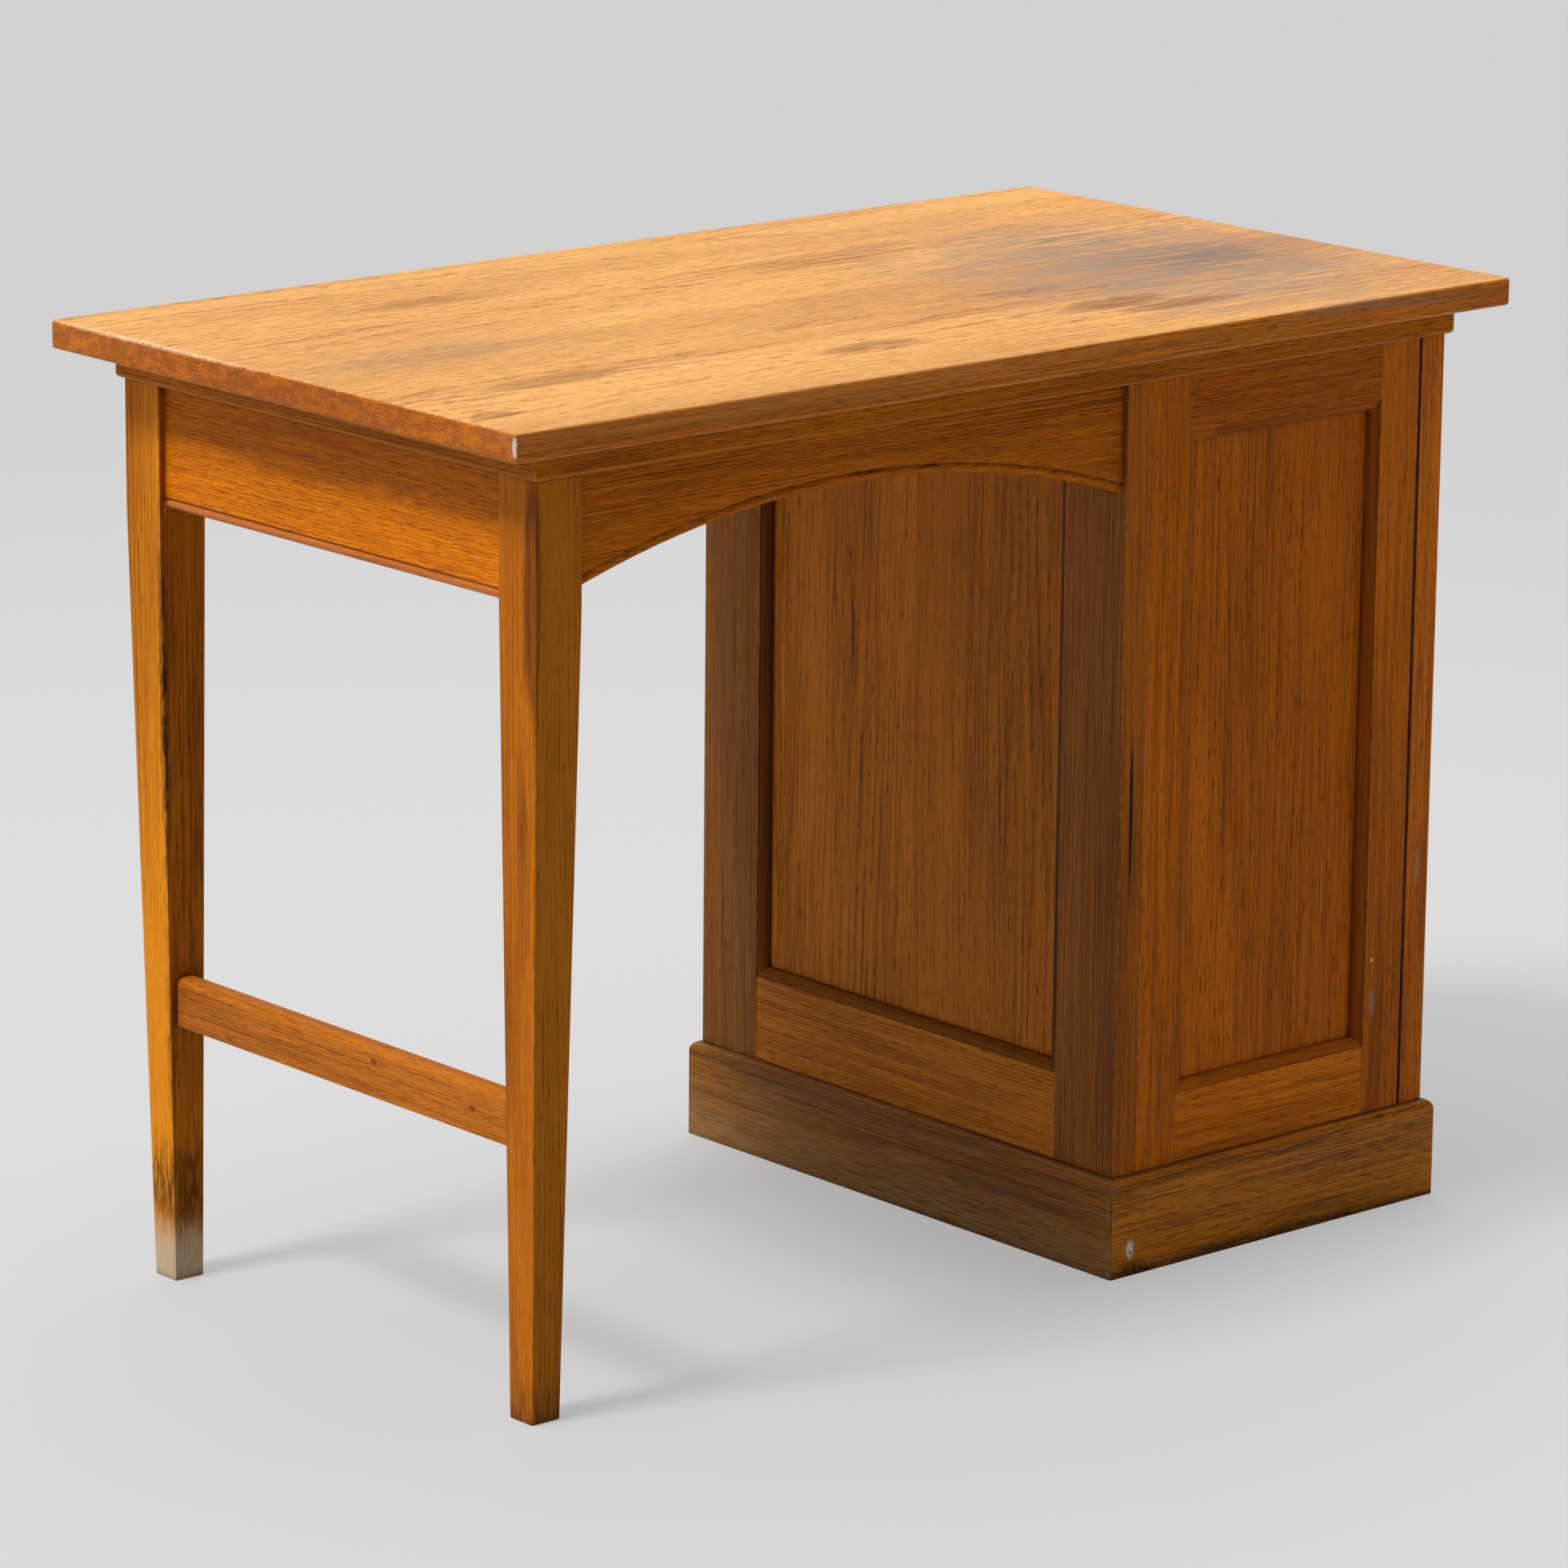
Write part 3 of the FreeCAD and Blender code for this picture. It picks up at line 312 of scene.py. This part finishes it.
PLANKS = make_planks()
AGED_OAK = make_aged_oak()
WORN_EDGES = make_worn_edges()
GRIME_AND_SHADE = make_grime_and_shade()
MARK = make_mark()
FLOOR_WEAR = make_floor_wear()
LEVEL_STRIPS = make_level_strips()

# What lies on the wood or shows through it, and the colours of painted shade, shadow, sheen and highlight
# Dark dirt, and also the colour of the painted shade in corners and creases
DIRT_AND_SHADE = tone("1c0f07")
BARE_WOOD = tone("d8b07c")
BLEACHED = tone("b9a88c")
GREY_WOOD = tone("9a7c50")
STAIN = tone("7a4820")
INK = tone("70605a")
WHITE_PAINT = tone("e8e4da")
SMEAR = tone("8f8a80")
# Painted sheen of the apron's bead
BEAD_SHEEN = tone("b06a44")
FLAME = tone("5e2c08")
# Painted shadow of the top's overhang
SHADE = tone("6a2c06")
OLD_POLISH = tone("46280c")
# Painted shadow of the top's overhang on the frame under it
FRAME_OVERHANG_SHADOW = tone("3e1c04")
END_DIRT = tone("6a381a")
FOOT_DIRT = tone("3c2412")
NEAR_HAZE = tone("b87c40")
FAR_HAZE = tone("b4804c")
GREY_HAZE = tone("8e7a6c")
PALE_ARRIS = tone("ecd6b4")
RUBBED_ARRIS = tone("f6dcb4")
# Painted highlight along the frame's rounded lower edge
FRAME_EDGE_HIGHLIGHT = tone("cc8430")
# Painted light: the lighter tone given to the upright moulding strip that faces the light
LIT_UPRIGHT_OAK = tone("a85a06")

# How the wood's tone is changed: on some boards and mouldings, and on the sides of the top, legs and stiles;
# the legs' darker sides are painted shade, and the lighter level moulding strips painted light
TOP_SIDE = tone("f2bd28")
SECOND_PLANK = tone("e6dfd8")
# Painted light on the level moulding strips, lighter than the shaded upright ones
LIT_LEVEL_TONE = (1.5, 1.65, 1.5, 1)
FRAME_TONE = (0.85, 0.95, 0.9, 1)
# Painted shade on the legs' faces turned along Y
LEG_SHADED_SIDE = (0.66, 0.58, 0.8, 1)
STRIP_SIDE = (1.6, 1.32, 0.4, 1)
OUTER_SIDE = (1.35, 1.05, 0.5, 1)
SECOND_LEG = (0.7, 0.6, 0.9, 1)
SECOND_LEG_SIDE = (0.9, 1.0, 1.15, 1)
UPPER_RAIL = (0.8, 0.76, 0.7, 1)
LOWER_RAIL = (1.2, 1.25, 1.0, 1)
FAR_STILE = (0.85, 0.93, 1.15, 1)
INNER_MOULDING = (0.6, 0.7, 0.9, 1)

# The tint that old varnish gives to what shines in it
VARNISH = (1.0, 0.8, 0.5, 1)


def oak_finish(pale, deep, pore, end="a07860", **figure):
    """The tones of the wood and of its end grain, and how strongly its figure shows."""
    return dict(pale=tone(pale), deep=tone(deep), pore=tone(pore), end=tone(end), **figure)


TOP_OAK = oak_finish("eeb064", "b6723c", "6e3a14", "e5ae3c",
                     rings=0.6, pores=0.8, rays=0.4, fibre=0.8, cloud=0.5, ripple=0.0008)
AMBER_OAK = oak_finish("dc860c", "924a04", "4a2404",
                       rings=0.45, pores=0.55, rays=0.1, fibre=1.3, cloud=0.9)
RAIL_OAK = oak_finish("ec8408", "8c4002", "742e06",
                      rings=0.5, pores=0.45, rays=0.45, fibre=1.2, cloud=0.3, ripple=0.0016)
BACK_OAK = oak_finish("c46a04", "763a02", "4e2402",
                      rings=0.65, pores=0.75, rays=0.3, fibre=1.6, cloud=0.5, ripple=0.0008)
PANEL_OAK = oak_finish("c86a04", "7a3a02", "3e1c02",
                       rings=0.6, pores=0.85, rays=0.15, fibre=1.8, cloud=0.6)
BROWN_OAK = oak_finish("bc701a", "703c0c", "341806",
                       rings=0.65, pores=0.85, rays=0.15, fibre=1.7, cloud=0.6)
DARK_OAK = oak_finish("9c5c20", "5c3210", "361c0a",
                      rings=0.75, pores=0.7, rays=0.12, fibre=1.6, cloud=0.6)
# Dark partly as painted shade, for the upright strips that turn away from the light
MOULDING_OAK = oak_finish("8a4408", "4e2004", "2c1204",
                          rings=0.6, pores=0.4, rays=0.05, fibre=1.4, cloud=0.5)
STRETCHER_OAK = oak_finish("bc6c1c", "7c3a08", "4a2208",
                           rings=0.6, pores=0.5, rays=0.35, fibre=1.4, cloud=0.7, ripple=0.001)
PLINTH_OAK = oak_finish("cc7a0c", "602e04", "281204",
                        rings=0.6, pores=0.6, rays=0.45, fibre=1.6, cloud=1.2, ripple=0.0012)
WORN_PLINTH = oak_finish("a0621c", "442406", "281408",
                         rings=0.5, pores=0.6, rays=0.35, fibre=1.5, cloud=0.9, ripple=0.001)
PINE = oak_finish("d9b077", "b98748", "9c6a34", "c0a890",
                  rings=0.8, pores=0.15, rays=0.0, cloud=0.4)


def board_place(web, node, lay, vector, normal):
    """A board's own coordinates, from its middle and along its grain, and the way its surface faces."""
    low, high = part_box(node)
    along = BOARD_STEP*(1 + sorted(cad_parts).index(node))
    start = (low + high)/2 - Vector([along*(axis == lay) for axis in "XYZ"])
    turn = {"Rotation": LAYS[lay]}
    board = web.node("Mapping", {"Vector": vector, "Location": start} | turn, vector_type="TEXTURE")
    facing = web.node("Mapping", {"Vector": normal} | turn, vector_type="TEXTURE")
    return board.outputs[0], facing.outputs[0]


def oak(node, lay, finish, ring=0.0021, heart=(0.0, 0.22, 0.24), wander=0.006, planks=None, level=None,
        edge=(BARE_WOOD, 0.25, 0.003), dirt_and_shade_strength=0.8, foot=None, tint=None, side=None, marks=(),
        rough=0.36, shine=0.08):
    """The oak of one board: its figure laid along the grain, then its wear and marks, some of them painted
    shadows, sheens and highlights, soiling with painted shade where pieces meet, and a tone of its own on
    faces turned along Y, painted shade on the legs.
    """
    material, web = new_material(f"oak_{node}")
    coordinates = web.node("TexCoord").outputs
    place = coordinates["Object"]
    board, facing = board_place(web, node, lay, place, coordinates["Normal"])
    if level:
        flat_board, flat_facing = board_place(web, node, level, place, coordinates["Normal"])
        low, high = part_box(node)
        along = Vector([axis == level for axis in "XYZ"])
        excess = (high - low).z/2 - (high - low).dot(along)/2
        middle = (low + high)/2
        lying = web.place(LEVEL_STRIPS, vector=place, middle=middle, along=along, excess=excess)["Mask"]
        board = web.mix(lying, board, flat_board)
        facing = web.mix(lying, facing, flat_facing)
    if planks:
        across, width, spread = planks
        glued = web.place(PLANKS, vector=board, across=across, width=width, spread=spread)
        board = glued["Vector"]
    wood = web.place(AGED_OAK, vector=board, normal=facing, ring_width=ring, heart=heart, wander=wander,
                     **finish)
    colour = wood["Color"]
    if planks:
        darker = web.mix(1.0, colour, SECOND_PLANK, "MULTIPLY")
        colour = web.mix(glued["Tone"], colour, darker)
    if tint:
        colour = web.mix(1.0, colour, tint, "MULTIPLY")
    if level:
        # Level strips made lighter than the upright ones: painted light and shade
        colour = web.mix(lying, colour, web.mix(1.0, colour, LIT_LEVEL_TONE, "MULTIPLY"))
    # Faces turned along Y get their own tone, on the legs a painted shade
    if side:
        along_y_faces = web.step(web.math("ABSOLUTE", web.parts(facing)[1]), 0.55, 0.9)
        colour = web.mix(along_y_faces, colour, web.mix(1.0, colour, side, "MULTIPLY"))
    pale_edge, rubbing, reach = edge
    rubbed = web.place(WORN_EDGES, vector=place, reach=reach)["Mask"]
    colour = web.mix(web.math("MULTIPLY", rubbed, rubbing), colour, pale_edge)
    if foot:
        height, bare, strength, grit = foot
        scuffed = web.place(FLOOR_WEAR, vector=place, height=height, grit=grit)["Mask"]
        colour = web.mix(web.math("MULTIPLY", scuffed, strength), colour, bare)
    for middle, size, paint, strength, ragged, grit in marks:
        patch = web.place(MARK, vector=place, middle=middle, reach=size, ragged=ragged, grit=grit)["Mask"]
        colour = web.mix(web.math("MULTIPLY", patch, strength), colour, paint)
    # Dirt where pieces meet, together with painted shade in corners and creases
    grime_and_shade_mask = web.place(GRIME_AND_SHADE, vector=place)["Mask"]
    colour = web.mix(web.math("MULTIPLY", grime_and_shade_mask, dirt_and_shade_strength), colour, DIRT_AND_SHADE)
    grain = {"Height": wood["Height"], "Distance": GRAIN_DEPTH, "Strength": GRAIN_STRENGTH}
    bump = web.node("Bump", grain).outputs[0]
    inputs = {"Base Color": colour, "Roughness": web.math("ADD", wood["Roughness"], rough), "Normal": bump,
              "Specular IOR Level": shine, "Specular Tint": VARNISH}
    web.surface(web.node("BsdfPrincipled", inputs))
    return material


def dress(node, material):
    """Give a board of the frame its finish."""
    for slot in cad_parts[node].material_slots:
        slot.material = material


def ease(node, width):
    """Round the arrises of a board a little, as a scraper and years of hands do."""
    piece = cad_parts[node]
    weld = piece.modifiers.new("closed", "WELD")
    weld.merge_threshold = SAME_CORNER
    flat = piece.modifiers.new("flat", "DECIMATE")
    flat.decimate_type = "DISSOLVE"
    flat.angle_limit = math.radians(SAME_FACE)
    arris = piece.modifiers.new("arris", "BEVEL")
    arris.width = width
    arris.segments = ARRIS_STEPS
    arris.limit_method = "ANGLE"
    arris.angle_limit = math.radians(ARRIS_ANGLE)
    arris.harden_normals = False
    piece.modifiers.new("normals", "WEIGHTED_NORMAL")


def steel():
    """The heads of the screws under the top."""
    material, web = new_material("screw_steel")
    place = web.node("TexCoord").outputs["Object"]
    rust = web.noise(place, (900, 900, 900), 4)
    colour = web.mix(web.step(rust, 0.4, 0.65), tone("8f8c88"), tone("5a3d2a"))
    rough = web.step(rust, 0.3, 0.7, 0.3, 0.7)
    web.surface(web.node("BsdfPrincipled", {"Base Color": colour, "Roughness": rough, "Metallic": 1.0}))
    return material


# Marks of use, and painted shadows, sheens and highlights: middle, reach, colour, strength, raggedness, and
# grit in cells per metre
UPRIGHT, LEVEL = (320.0, 320.0, 35.0), (35.0, 35.0, 600.0)
ALONG_X, FINE = (11.0, 110.0, 60.0), (260.0, 260.0, 260.0)
SPILL, EVEN, SCRATCHES = (34.0, 110.0, 60.0), (30.0, 30.0, 30.0), (150.0, 150.0, 50.0)
TOP_MARKS = [
    ((0.0, 0.289, 0.7675), (2.0, 0.004, 0.03), OLD_POLISH, 0.45, 1.0, (6.0, 6.0, 460.0)),
    ((0.25, 0.275, 0.78), (0.6, 0.06, 0.02), NEAR_HAZE, 0.4, 0.6, ALONG_X),
    ((0.0, -0.26, 0.78), (0.8, 0.1, 0.02), FAR_HAZE, 0.2, 0.7, ALONG_X),
    ((-0.335, 0.07, 0.78), (0.27, 0.28, 0.02), GREY_HAZE, 0.85, 0.75, ALONG_X),
    ((0.363, 0.147, 0.78), (0.085, 0.022, 0.02), STAIN, 0.55, 0.45, SPILL),
    ((0.488, 0.227, 0.78), (0.032, 0.011, 0.02), STAIN, 0.7, 0.45, SPILL),
    ((0.372, 0.011, 0.78), (0.16, 0.05, 0.02), INK, 0.35, 0.8, ALONG_X),
    ((0.247, -0.167, 0.78), (0.11, 0.022, 0.02), STAIN, 0.5, 0.8, ALONG_X),
    ((0.093, 0.192, 0.78), (0.065, 0.02, 0.02), STAIN, 0.6, 0.45, SPILL),
    ((-0.186, 0.173, 0.78), (0.07, 0.024, 0.02), STAIN, 0.75, 0.45, SPILL),
    ((-0.225, 0.206, 0.78), (0.08, 0.017, 0.02), STAIN, 0.7, 0.45, SPILL),
    ((-0.384, 0.058, 0.78), (0.14, 0.085, 0.02), INK, 0.55, 1.0, ALONG_X),
    ((-0.377, -0.067, 0.78), (0.12, 0.06, 0.02), INK, 0.42, 1.0, ALONG_X),
    ((-0.13, -0.12, 0.78), (0.15, 0.045, 0.02), STAIN, 0.45, 0.9, ALONG_X),
    ((0.254, 0.167, 0.78), (0.012, 0.005, 0.02), WHITE_PAINT, 0.4, 0.7, FINE),
    ((0.5205, 0.0, 0.7685), (0.004, 1.0, 0.06), END_DIRT, 0.5, 1.0, (70.0, 70.0, 150.0)),
    ((0.519, -0.16, 0.7792), (0.004, 0.17, 0.0026), PALE_ARRIS, 0.55, 0.8, FINE),
    ((0.5205, 0.288, 0.769), (0.003, 0.003, 0.012), WHITE_PAINT, 0.9, 0.5, FINE),
]
FRAME_MARKS = [
    # Painted shadow of the top's overhang on the frame's upper part
    ((0.0, 0.0, 0.757), (2.0, 2.0, 0.009), FRAME_OVERHANG_SHADOW, 0.45, 0.2, (30.0, 30.0, 300.0)),
    # Painted highlight along the frame's rounded lower edge
    ((0.0, 0.0, 0.7352), (2.0, 2.0, 0.0012), FRAME_EDGE_HIGHLIGHT, 0.32, 0.3, EVEN),
]
END_APRON_MARKS = [
    # Painted shadow of the top's overhang on the apron's upper part
    ((0.47, 0.0, 0.735), (0.1, 2.0, 0.055), SHADE, 0.45, 0.3, (40.0, 40.0, 160.0)),
    # Painted sheen along the bead at the apron's lower edge
    ((0.47, 0.0, 0.6395), (0.1, 2.0, 0.0062), BEAD_SHEEN, 0.55, 0.1, EVEN),
]
LEG_BACK_MARKS = [
    ((0.475, 0.2535, 0.645), (0.006, 0.015, 0.13), FLAME, 0.9, 0.4, (170.0, 170.0, 14.0)),
    ((0.473, 0.239, 0.45), (0.008, 0.009, 0.1), FLAME, 0.6, 0.8, (150.0, 150.0, 9.0)),
]
LEG_FRONT_MARKS = [
    ((0.4722, -0.2105, 0.47), (0.006, 0.007, 0.21), DIRT_AND_SHADE, 0.85, 0.7, SCRATCHES),
    ((0.4665, -0.213, 0.2), (0.006, 0.006, 0.09), DIRT_AND_SHADE, 0.6, 0.9, SCRATCHES),
    ((0.45, -0.211, 0.36), (0.04, 0.006, 0.34), DIRT_AND_SHADE, 0.5, 1.0, (260.0, 260.0, 12.0)),
    ((0.455, -0.22, 0.078), (0.06, 0.06, 0.045), DIRT_AND_SHADE, 0.75, 0.75, (200.0, 200.0, 40.0)),
    ((0.455, -0.22, 0.0), (0.09, 0.09, 0.055), BLEACHED, 0.85, 0.5, (420.0, 420.0, 70.0)),
]
STRIP_MARKS = [((-0.1348, 0.257, 0.383), (0.0026, 0.01, 0.085), DIRT_AND_SHADE, 1.0, 0.15, (400.0, 400.0, 60.0))]
PLINTH_MARKS = [
    ((-0.1358, 0.2655, 0.0224), (0.0048, 0.01, 0.0098), WHITE_PAINT, 0.95, 0.35, FINE),
    ((-0.1366, 0.2655, 0.0198), (0.0015, 0.01, 0.0027), DIRT_AND_SHADE, 0.95, 0.4, FINE),
    ((-0.14, 0.2655, 0.0), (0.03, 0.02, 0.016), DIRT_AND_SHADE, 0.9, 0.7, FINE),
    ((-0.25, 0.2655, 0.0), (0.14, 0.02, 0.013), DIRT_AND_SHADE, 0.6, 0.8, (60.0, 60.0, 160.0)),
]
# Painted light: the left upright strip, which faces the light, is made lighter than the shaded right one
MOULDING_MARKS = [((-0.205, 0.25, 0.36), (0.02, 0.05, 2.0), LIT_UPRIGHT_OAK, 0.9, 0.1, UPRIGHT)]
STILE_MARKS = [
    ((-0.416, 0.257, 0.178), (0.004, 0.01, 0.016), SMEAR, 0.6, 0.7, FINE),
    ((-0.4147, 0.257, 0.2145), (0.002, 0.01, 0.0022), WHITE_PAINT, 0.7, 0.3, FINE),
]
OUTER_STRIP_MARKS = [((-0.4655, 0.257, 0.285), (0.004, 0.01, 0.02), SMEAR, 0.55, 0.7, FINE)]
STRETCHER_MARKS = [
    ((0.463, 0.0448, 0.2422), (0.02, 0.005, 0.0035), DIRT_AND_SHADE, 0.8, 0.5, FINE),
    ((0.463, 0.1661, 0.2335), (0.02, 0.005, 0.0035), DIRT_AND_SHADE, 0.6, 0.5, FINE),
]


def finish_top():
    """The top, the frame under it and its screws."""
    dress("table_top", oak("table_top", "X", TOP_OAK, ring=0.0027, heart=(0, 0.03, -0.13), wander=0.016,
                           planks=((0.0, 1.0, 0.0), 0.145, 0.16), edge=(RUBBED_ARRIS, 0.75, 0.0025),
                           side=TOP_SIDE, marks=TOP_MARKS, shine=0.2))
    rails = {"front": "X", "back": "X", "leg_end": "Y", "pedestal_end": "Y", "cross_rail": "Y"}
    for side, lay in rails.items():
        node = f"top_frame_{side}"
        dress(node, oak(node, lay, BACK_OAK, tint=FRAME_TONE, marks=FRAME_MARKS))
    dress("top_screws", steel())


def finish_leg_end():
    """The legs and the rails that join them to each other and to the pedestal."""
    legs = {
        "leg_front": ((0.046, BLEACHED, 0.85, UPRIGHT), None, LEG_SHADED_SIDE, LEG_FRONT_MARKS),
        "leg_back": ((0.03, FOOT_DIRT, 0.75, UPRIGHT), SECOND_LEG, SECOND_LEG_SIDE, LEG_BACK_MARKS),
    }
    for node, (foot, tint, side, marks) in legs.items():
        dress(node, oak(node, "Z", AMBER_OAK, ring=0.0032, heart=(0, 0.12, 0.1), wander=0.004, foot=foot,
                        tint=tint, side=side, marks=marks))
        ease(node, 0.0012)
    dress("leg_end_apron", oak("leg_end_apron", "Y", RAIL_OAK, dirt_and_shade_strength=0.6, marks=END_APRON_MARKS))
    dress("arched_back_apron", oak("arched_back_apron", "X", BACK_OAK, dirt_and_shade_strength=0.35))
    dress("leg_stretcher", oak("leg_stretcher", "Y", STRETCHER_OAK, marks=STRETCHER_MARKS))
    ease("leg_stretcher", 0.0008)
    dress("knee_rail", oak("knee_rail", "X", RAIL_OAK))
    ease("knee_rail", 0.0006)


def finish_pedestal():
    """The framed walls of the pedestal, its plinth and what is inside it."""
    walls = {
        "knee_side": ("front", "back", "Y", (0.0, 1.0, 0.0), BROWN_OAK),
        "outer_side": ("front", "back", "Y", (0.0, 1.0, 0.0), BROWN_OAK),
        "back": ("knee", "outer", "X", (0.0, 0.0, 1.0), PANEL_OAK),
    }
    marks = {"knee_side_back_stile": STRIP_MARKS, "back_outer_stile": STILE_MARKS,
             "outer_side_back_stile": OUTER_STRIP_MARKS}
    tints = {"back_top_rail": UPPER_RAIL, "back_bottom_rail": LOWER_RAIL,
             "knee_side_front_stile": FAR_STILE}
    sides = {"knee_side_back_stile": STRIP_SIDE, "outer_side_back_stile": OUTER_SIDE}
    dark = ("knee_side_front_stile", "knee_side_back_stile")
    for wall, (first, second, rail_lay, across, tones) in walls.items():
        rails = {f"{first}_stile": "Z", f"{second}_stile": "Z", "top_rail": rail_lay, "bottom_rail": rail_lay}
        for part, lay in rails.items():
            node = f"{wall}_{part}"
            dress(node, oak(node, lay, DARK_OAK if node in dark else tones, tint=tints.get(node),
                            side=sides.get(node), marks=marks.get(node, ())))
            ease(node, 0.0006)
        node = f"{wall}_panel"
        dress(node, oak(node, "Z", tones | dict(rings=0.38), ring=0.0036, heart=(0, 0.07, 0.06), wander=0.018,
                        planks=(across, 0.4 if wall == "back" else 0.17, 0.2)))
        node = f"{wall}_moulding"
        dress(node, oak(node, "Z", MOULDING_OAK, level=rail_lay, edge=(BARE_WOOD, 0.06, 0.003),
                        shine=0.05, tint=None if wall == "back" else INNER_MOULDING,
                        marks=MOULDING_MARKS if wall == "back" else ()))
    for side, lay in {"front": "X", "back": "X", "knee_side": "Y", "outer_side": "Y"}.items():
        node = f"plinth_{side}"
        worn = side == "knee_side"
        dress(node, oak(node, lay, WORN_PLINTH if worn else PLINTH_OAK, rough=0.26, shine=0.2,
                        foot=(0.05, GREY_WOOD, 0.75, LEVEL) if worn else (0.012, DIRT_AND_SHADE, 0.8, LEVEL),
                        marks=PLINTH_MARKS if side == "back" else ()))
        ease(node, 0.001)
    dress("glue_blocks", oak("glue_blocks", "X", PINE))
    dress("pedestal_bottom", oak("pedestal_bottom", "X", PANEL_OAK))
    for node, lay in {"drawer_dividers": "X", "drawer_runners": "Y", "drawer_stops": "X"}.items():
        dress(node, oak(node, lay, RAIL_OAK if node == "drawer_dividers" else PINE))


def finish_drawers():
    """Oak fronts and knobs on pine boxes."""
    for drawer in ("knee", "top", "second", "third", "bottom"):
        name = f"{drawer}_drawer"
        dress(f"{name}_front", oak(f"{name}_front", "X", PANEL_OAK))
        ease(f"{name}_front", 0.0008)
        dress(f"{name}_box", oak(f"{name}_box", "Y", PINE))
        dress(f"{name}_bottom", oak(f"{name}_bottom", "X", PINE))
        knob = f"{name}_knobs" if drawer == "knee" else f"{name}_knob"
        dress(knob, oak(knob, "Y", AMBER_OAK))


def lay_floor():
    """A plain pale floor that runs on past the picture, made darker far from the desk as painted fall-off of
    the light.
    """
    mesh = bpy.data.meshes.new("floor")
    r = FLOOR_REACH
    mesh.from_pydata([(-r, -r, 0), (r, -r, 0), (r, r, 0), (-r, r, 0)], [], [(0, 1, 2, 3)])
    floor = bpy.data.objects.new("floor", mesh)
    bpy.context.scene.collection.objects.link(floor)
    material, web = new_material("pale_floor")
    away = web.vector("SUBTRACT", web.node("TexCoord").outputs["Object"], FLOOR_MIDDLE)
    # Darker far from the desk: painted fall-off of the light
    far = web.step(web.vector("LENGTH", away), *FLOOR_FADE, 1.0, FLOOR_FAR)
    grey = web.node("CombineColor", {"Red": far, "Green": far, "Blue": far}).outputs[0]
    lit = web.mix(1.0, FLOOR_TONE, grey, "MULTIPLY")
    paint = web.node("BsdfPrincipled", {"Base Color": lit, "Roughness": 0.75, "Specular IOR Level": 0.2})
    glow = web.node("Emission", {"Color": BACKGROUND, "Strength": far})
    seen = web.math("MULTIPLY", web.node("LightPath").outputs["Is Camera Ray"], FLOOR_GLOW)
    web.surface(web.mix_shaders(seen, paint, glow))
    mesh.materials.append(material)


def light_room():
    """Soft light from the leg end and from above, and a pale room all round."""
    for name, (place, strength, spread) in LAMPS.items():
        lamp = bpy.data.lights.new(name, "SUN")
        lamp.energy = strength
        lamp.angle = math.radians(spread)
        light = bpy.data.objects.new(name, lamp)
        light.rotation_mode = "QUATERNION"
        light.rotation_quaternion = Vector(place).to_track_quat("Z", "Y")
        bpy.context.scene.collection.objects.link(light)
    world = bpy.data.worlds.new("room")
    world.use_nodes = True
    world.node_tree.nodes.clear()
    web = Web(world.node_tree)
    seen = web.node("LightPath").outputs["Is Camera Ray"]
    ambient = web.node("Background", {"Color": ROOM_TONE, "Strength": ROOM_LIGHT})
    backdrop = web.node("Background", {"Color": BACKGROUND, "Strength": 1.0})
    web.surface(web.mix_shaders(seen, ambient, backdrop), "OutputWorld")
    bpy.context.scene.world = world


def set_camera():
    """The camera, with a long lens, turned towards the desk."""
    lens = bpy.data.cameras.new("camera")
    lens.lens = CAMERA_LENS
    lens.sensor_width = CAMERA_SENSOR
    lens.clip_end = CAMERA_REACH
    camera = bpy.data.objects.new("camera", lens)
    turn = Matrix.Rotation(math.radians(180 - CAMERA_TURN), 4, "Z")
    tip = Matrix.Rotation(math.radians(90 - CAMERA_DIP), 4, "X")
    roll = Matrix.Rotation(math.radians(CAMERA_ROLL), 4, "Z")
    camera.matrix_world = Matrix.Translation(CAMERA_AT) @ turn @ tip @ roll
    bpy.context.scene.collection.objects.link(camera)
    bpy.context.scene.camera = camera


finish_top()
finish_leg_end()
finish_pedestal()
finish_drawers()
lay_floor()
light_room()
set_camera()
bpy.context.scene.view_settings.view_transform = "Standard"
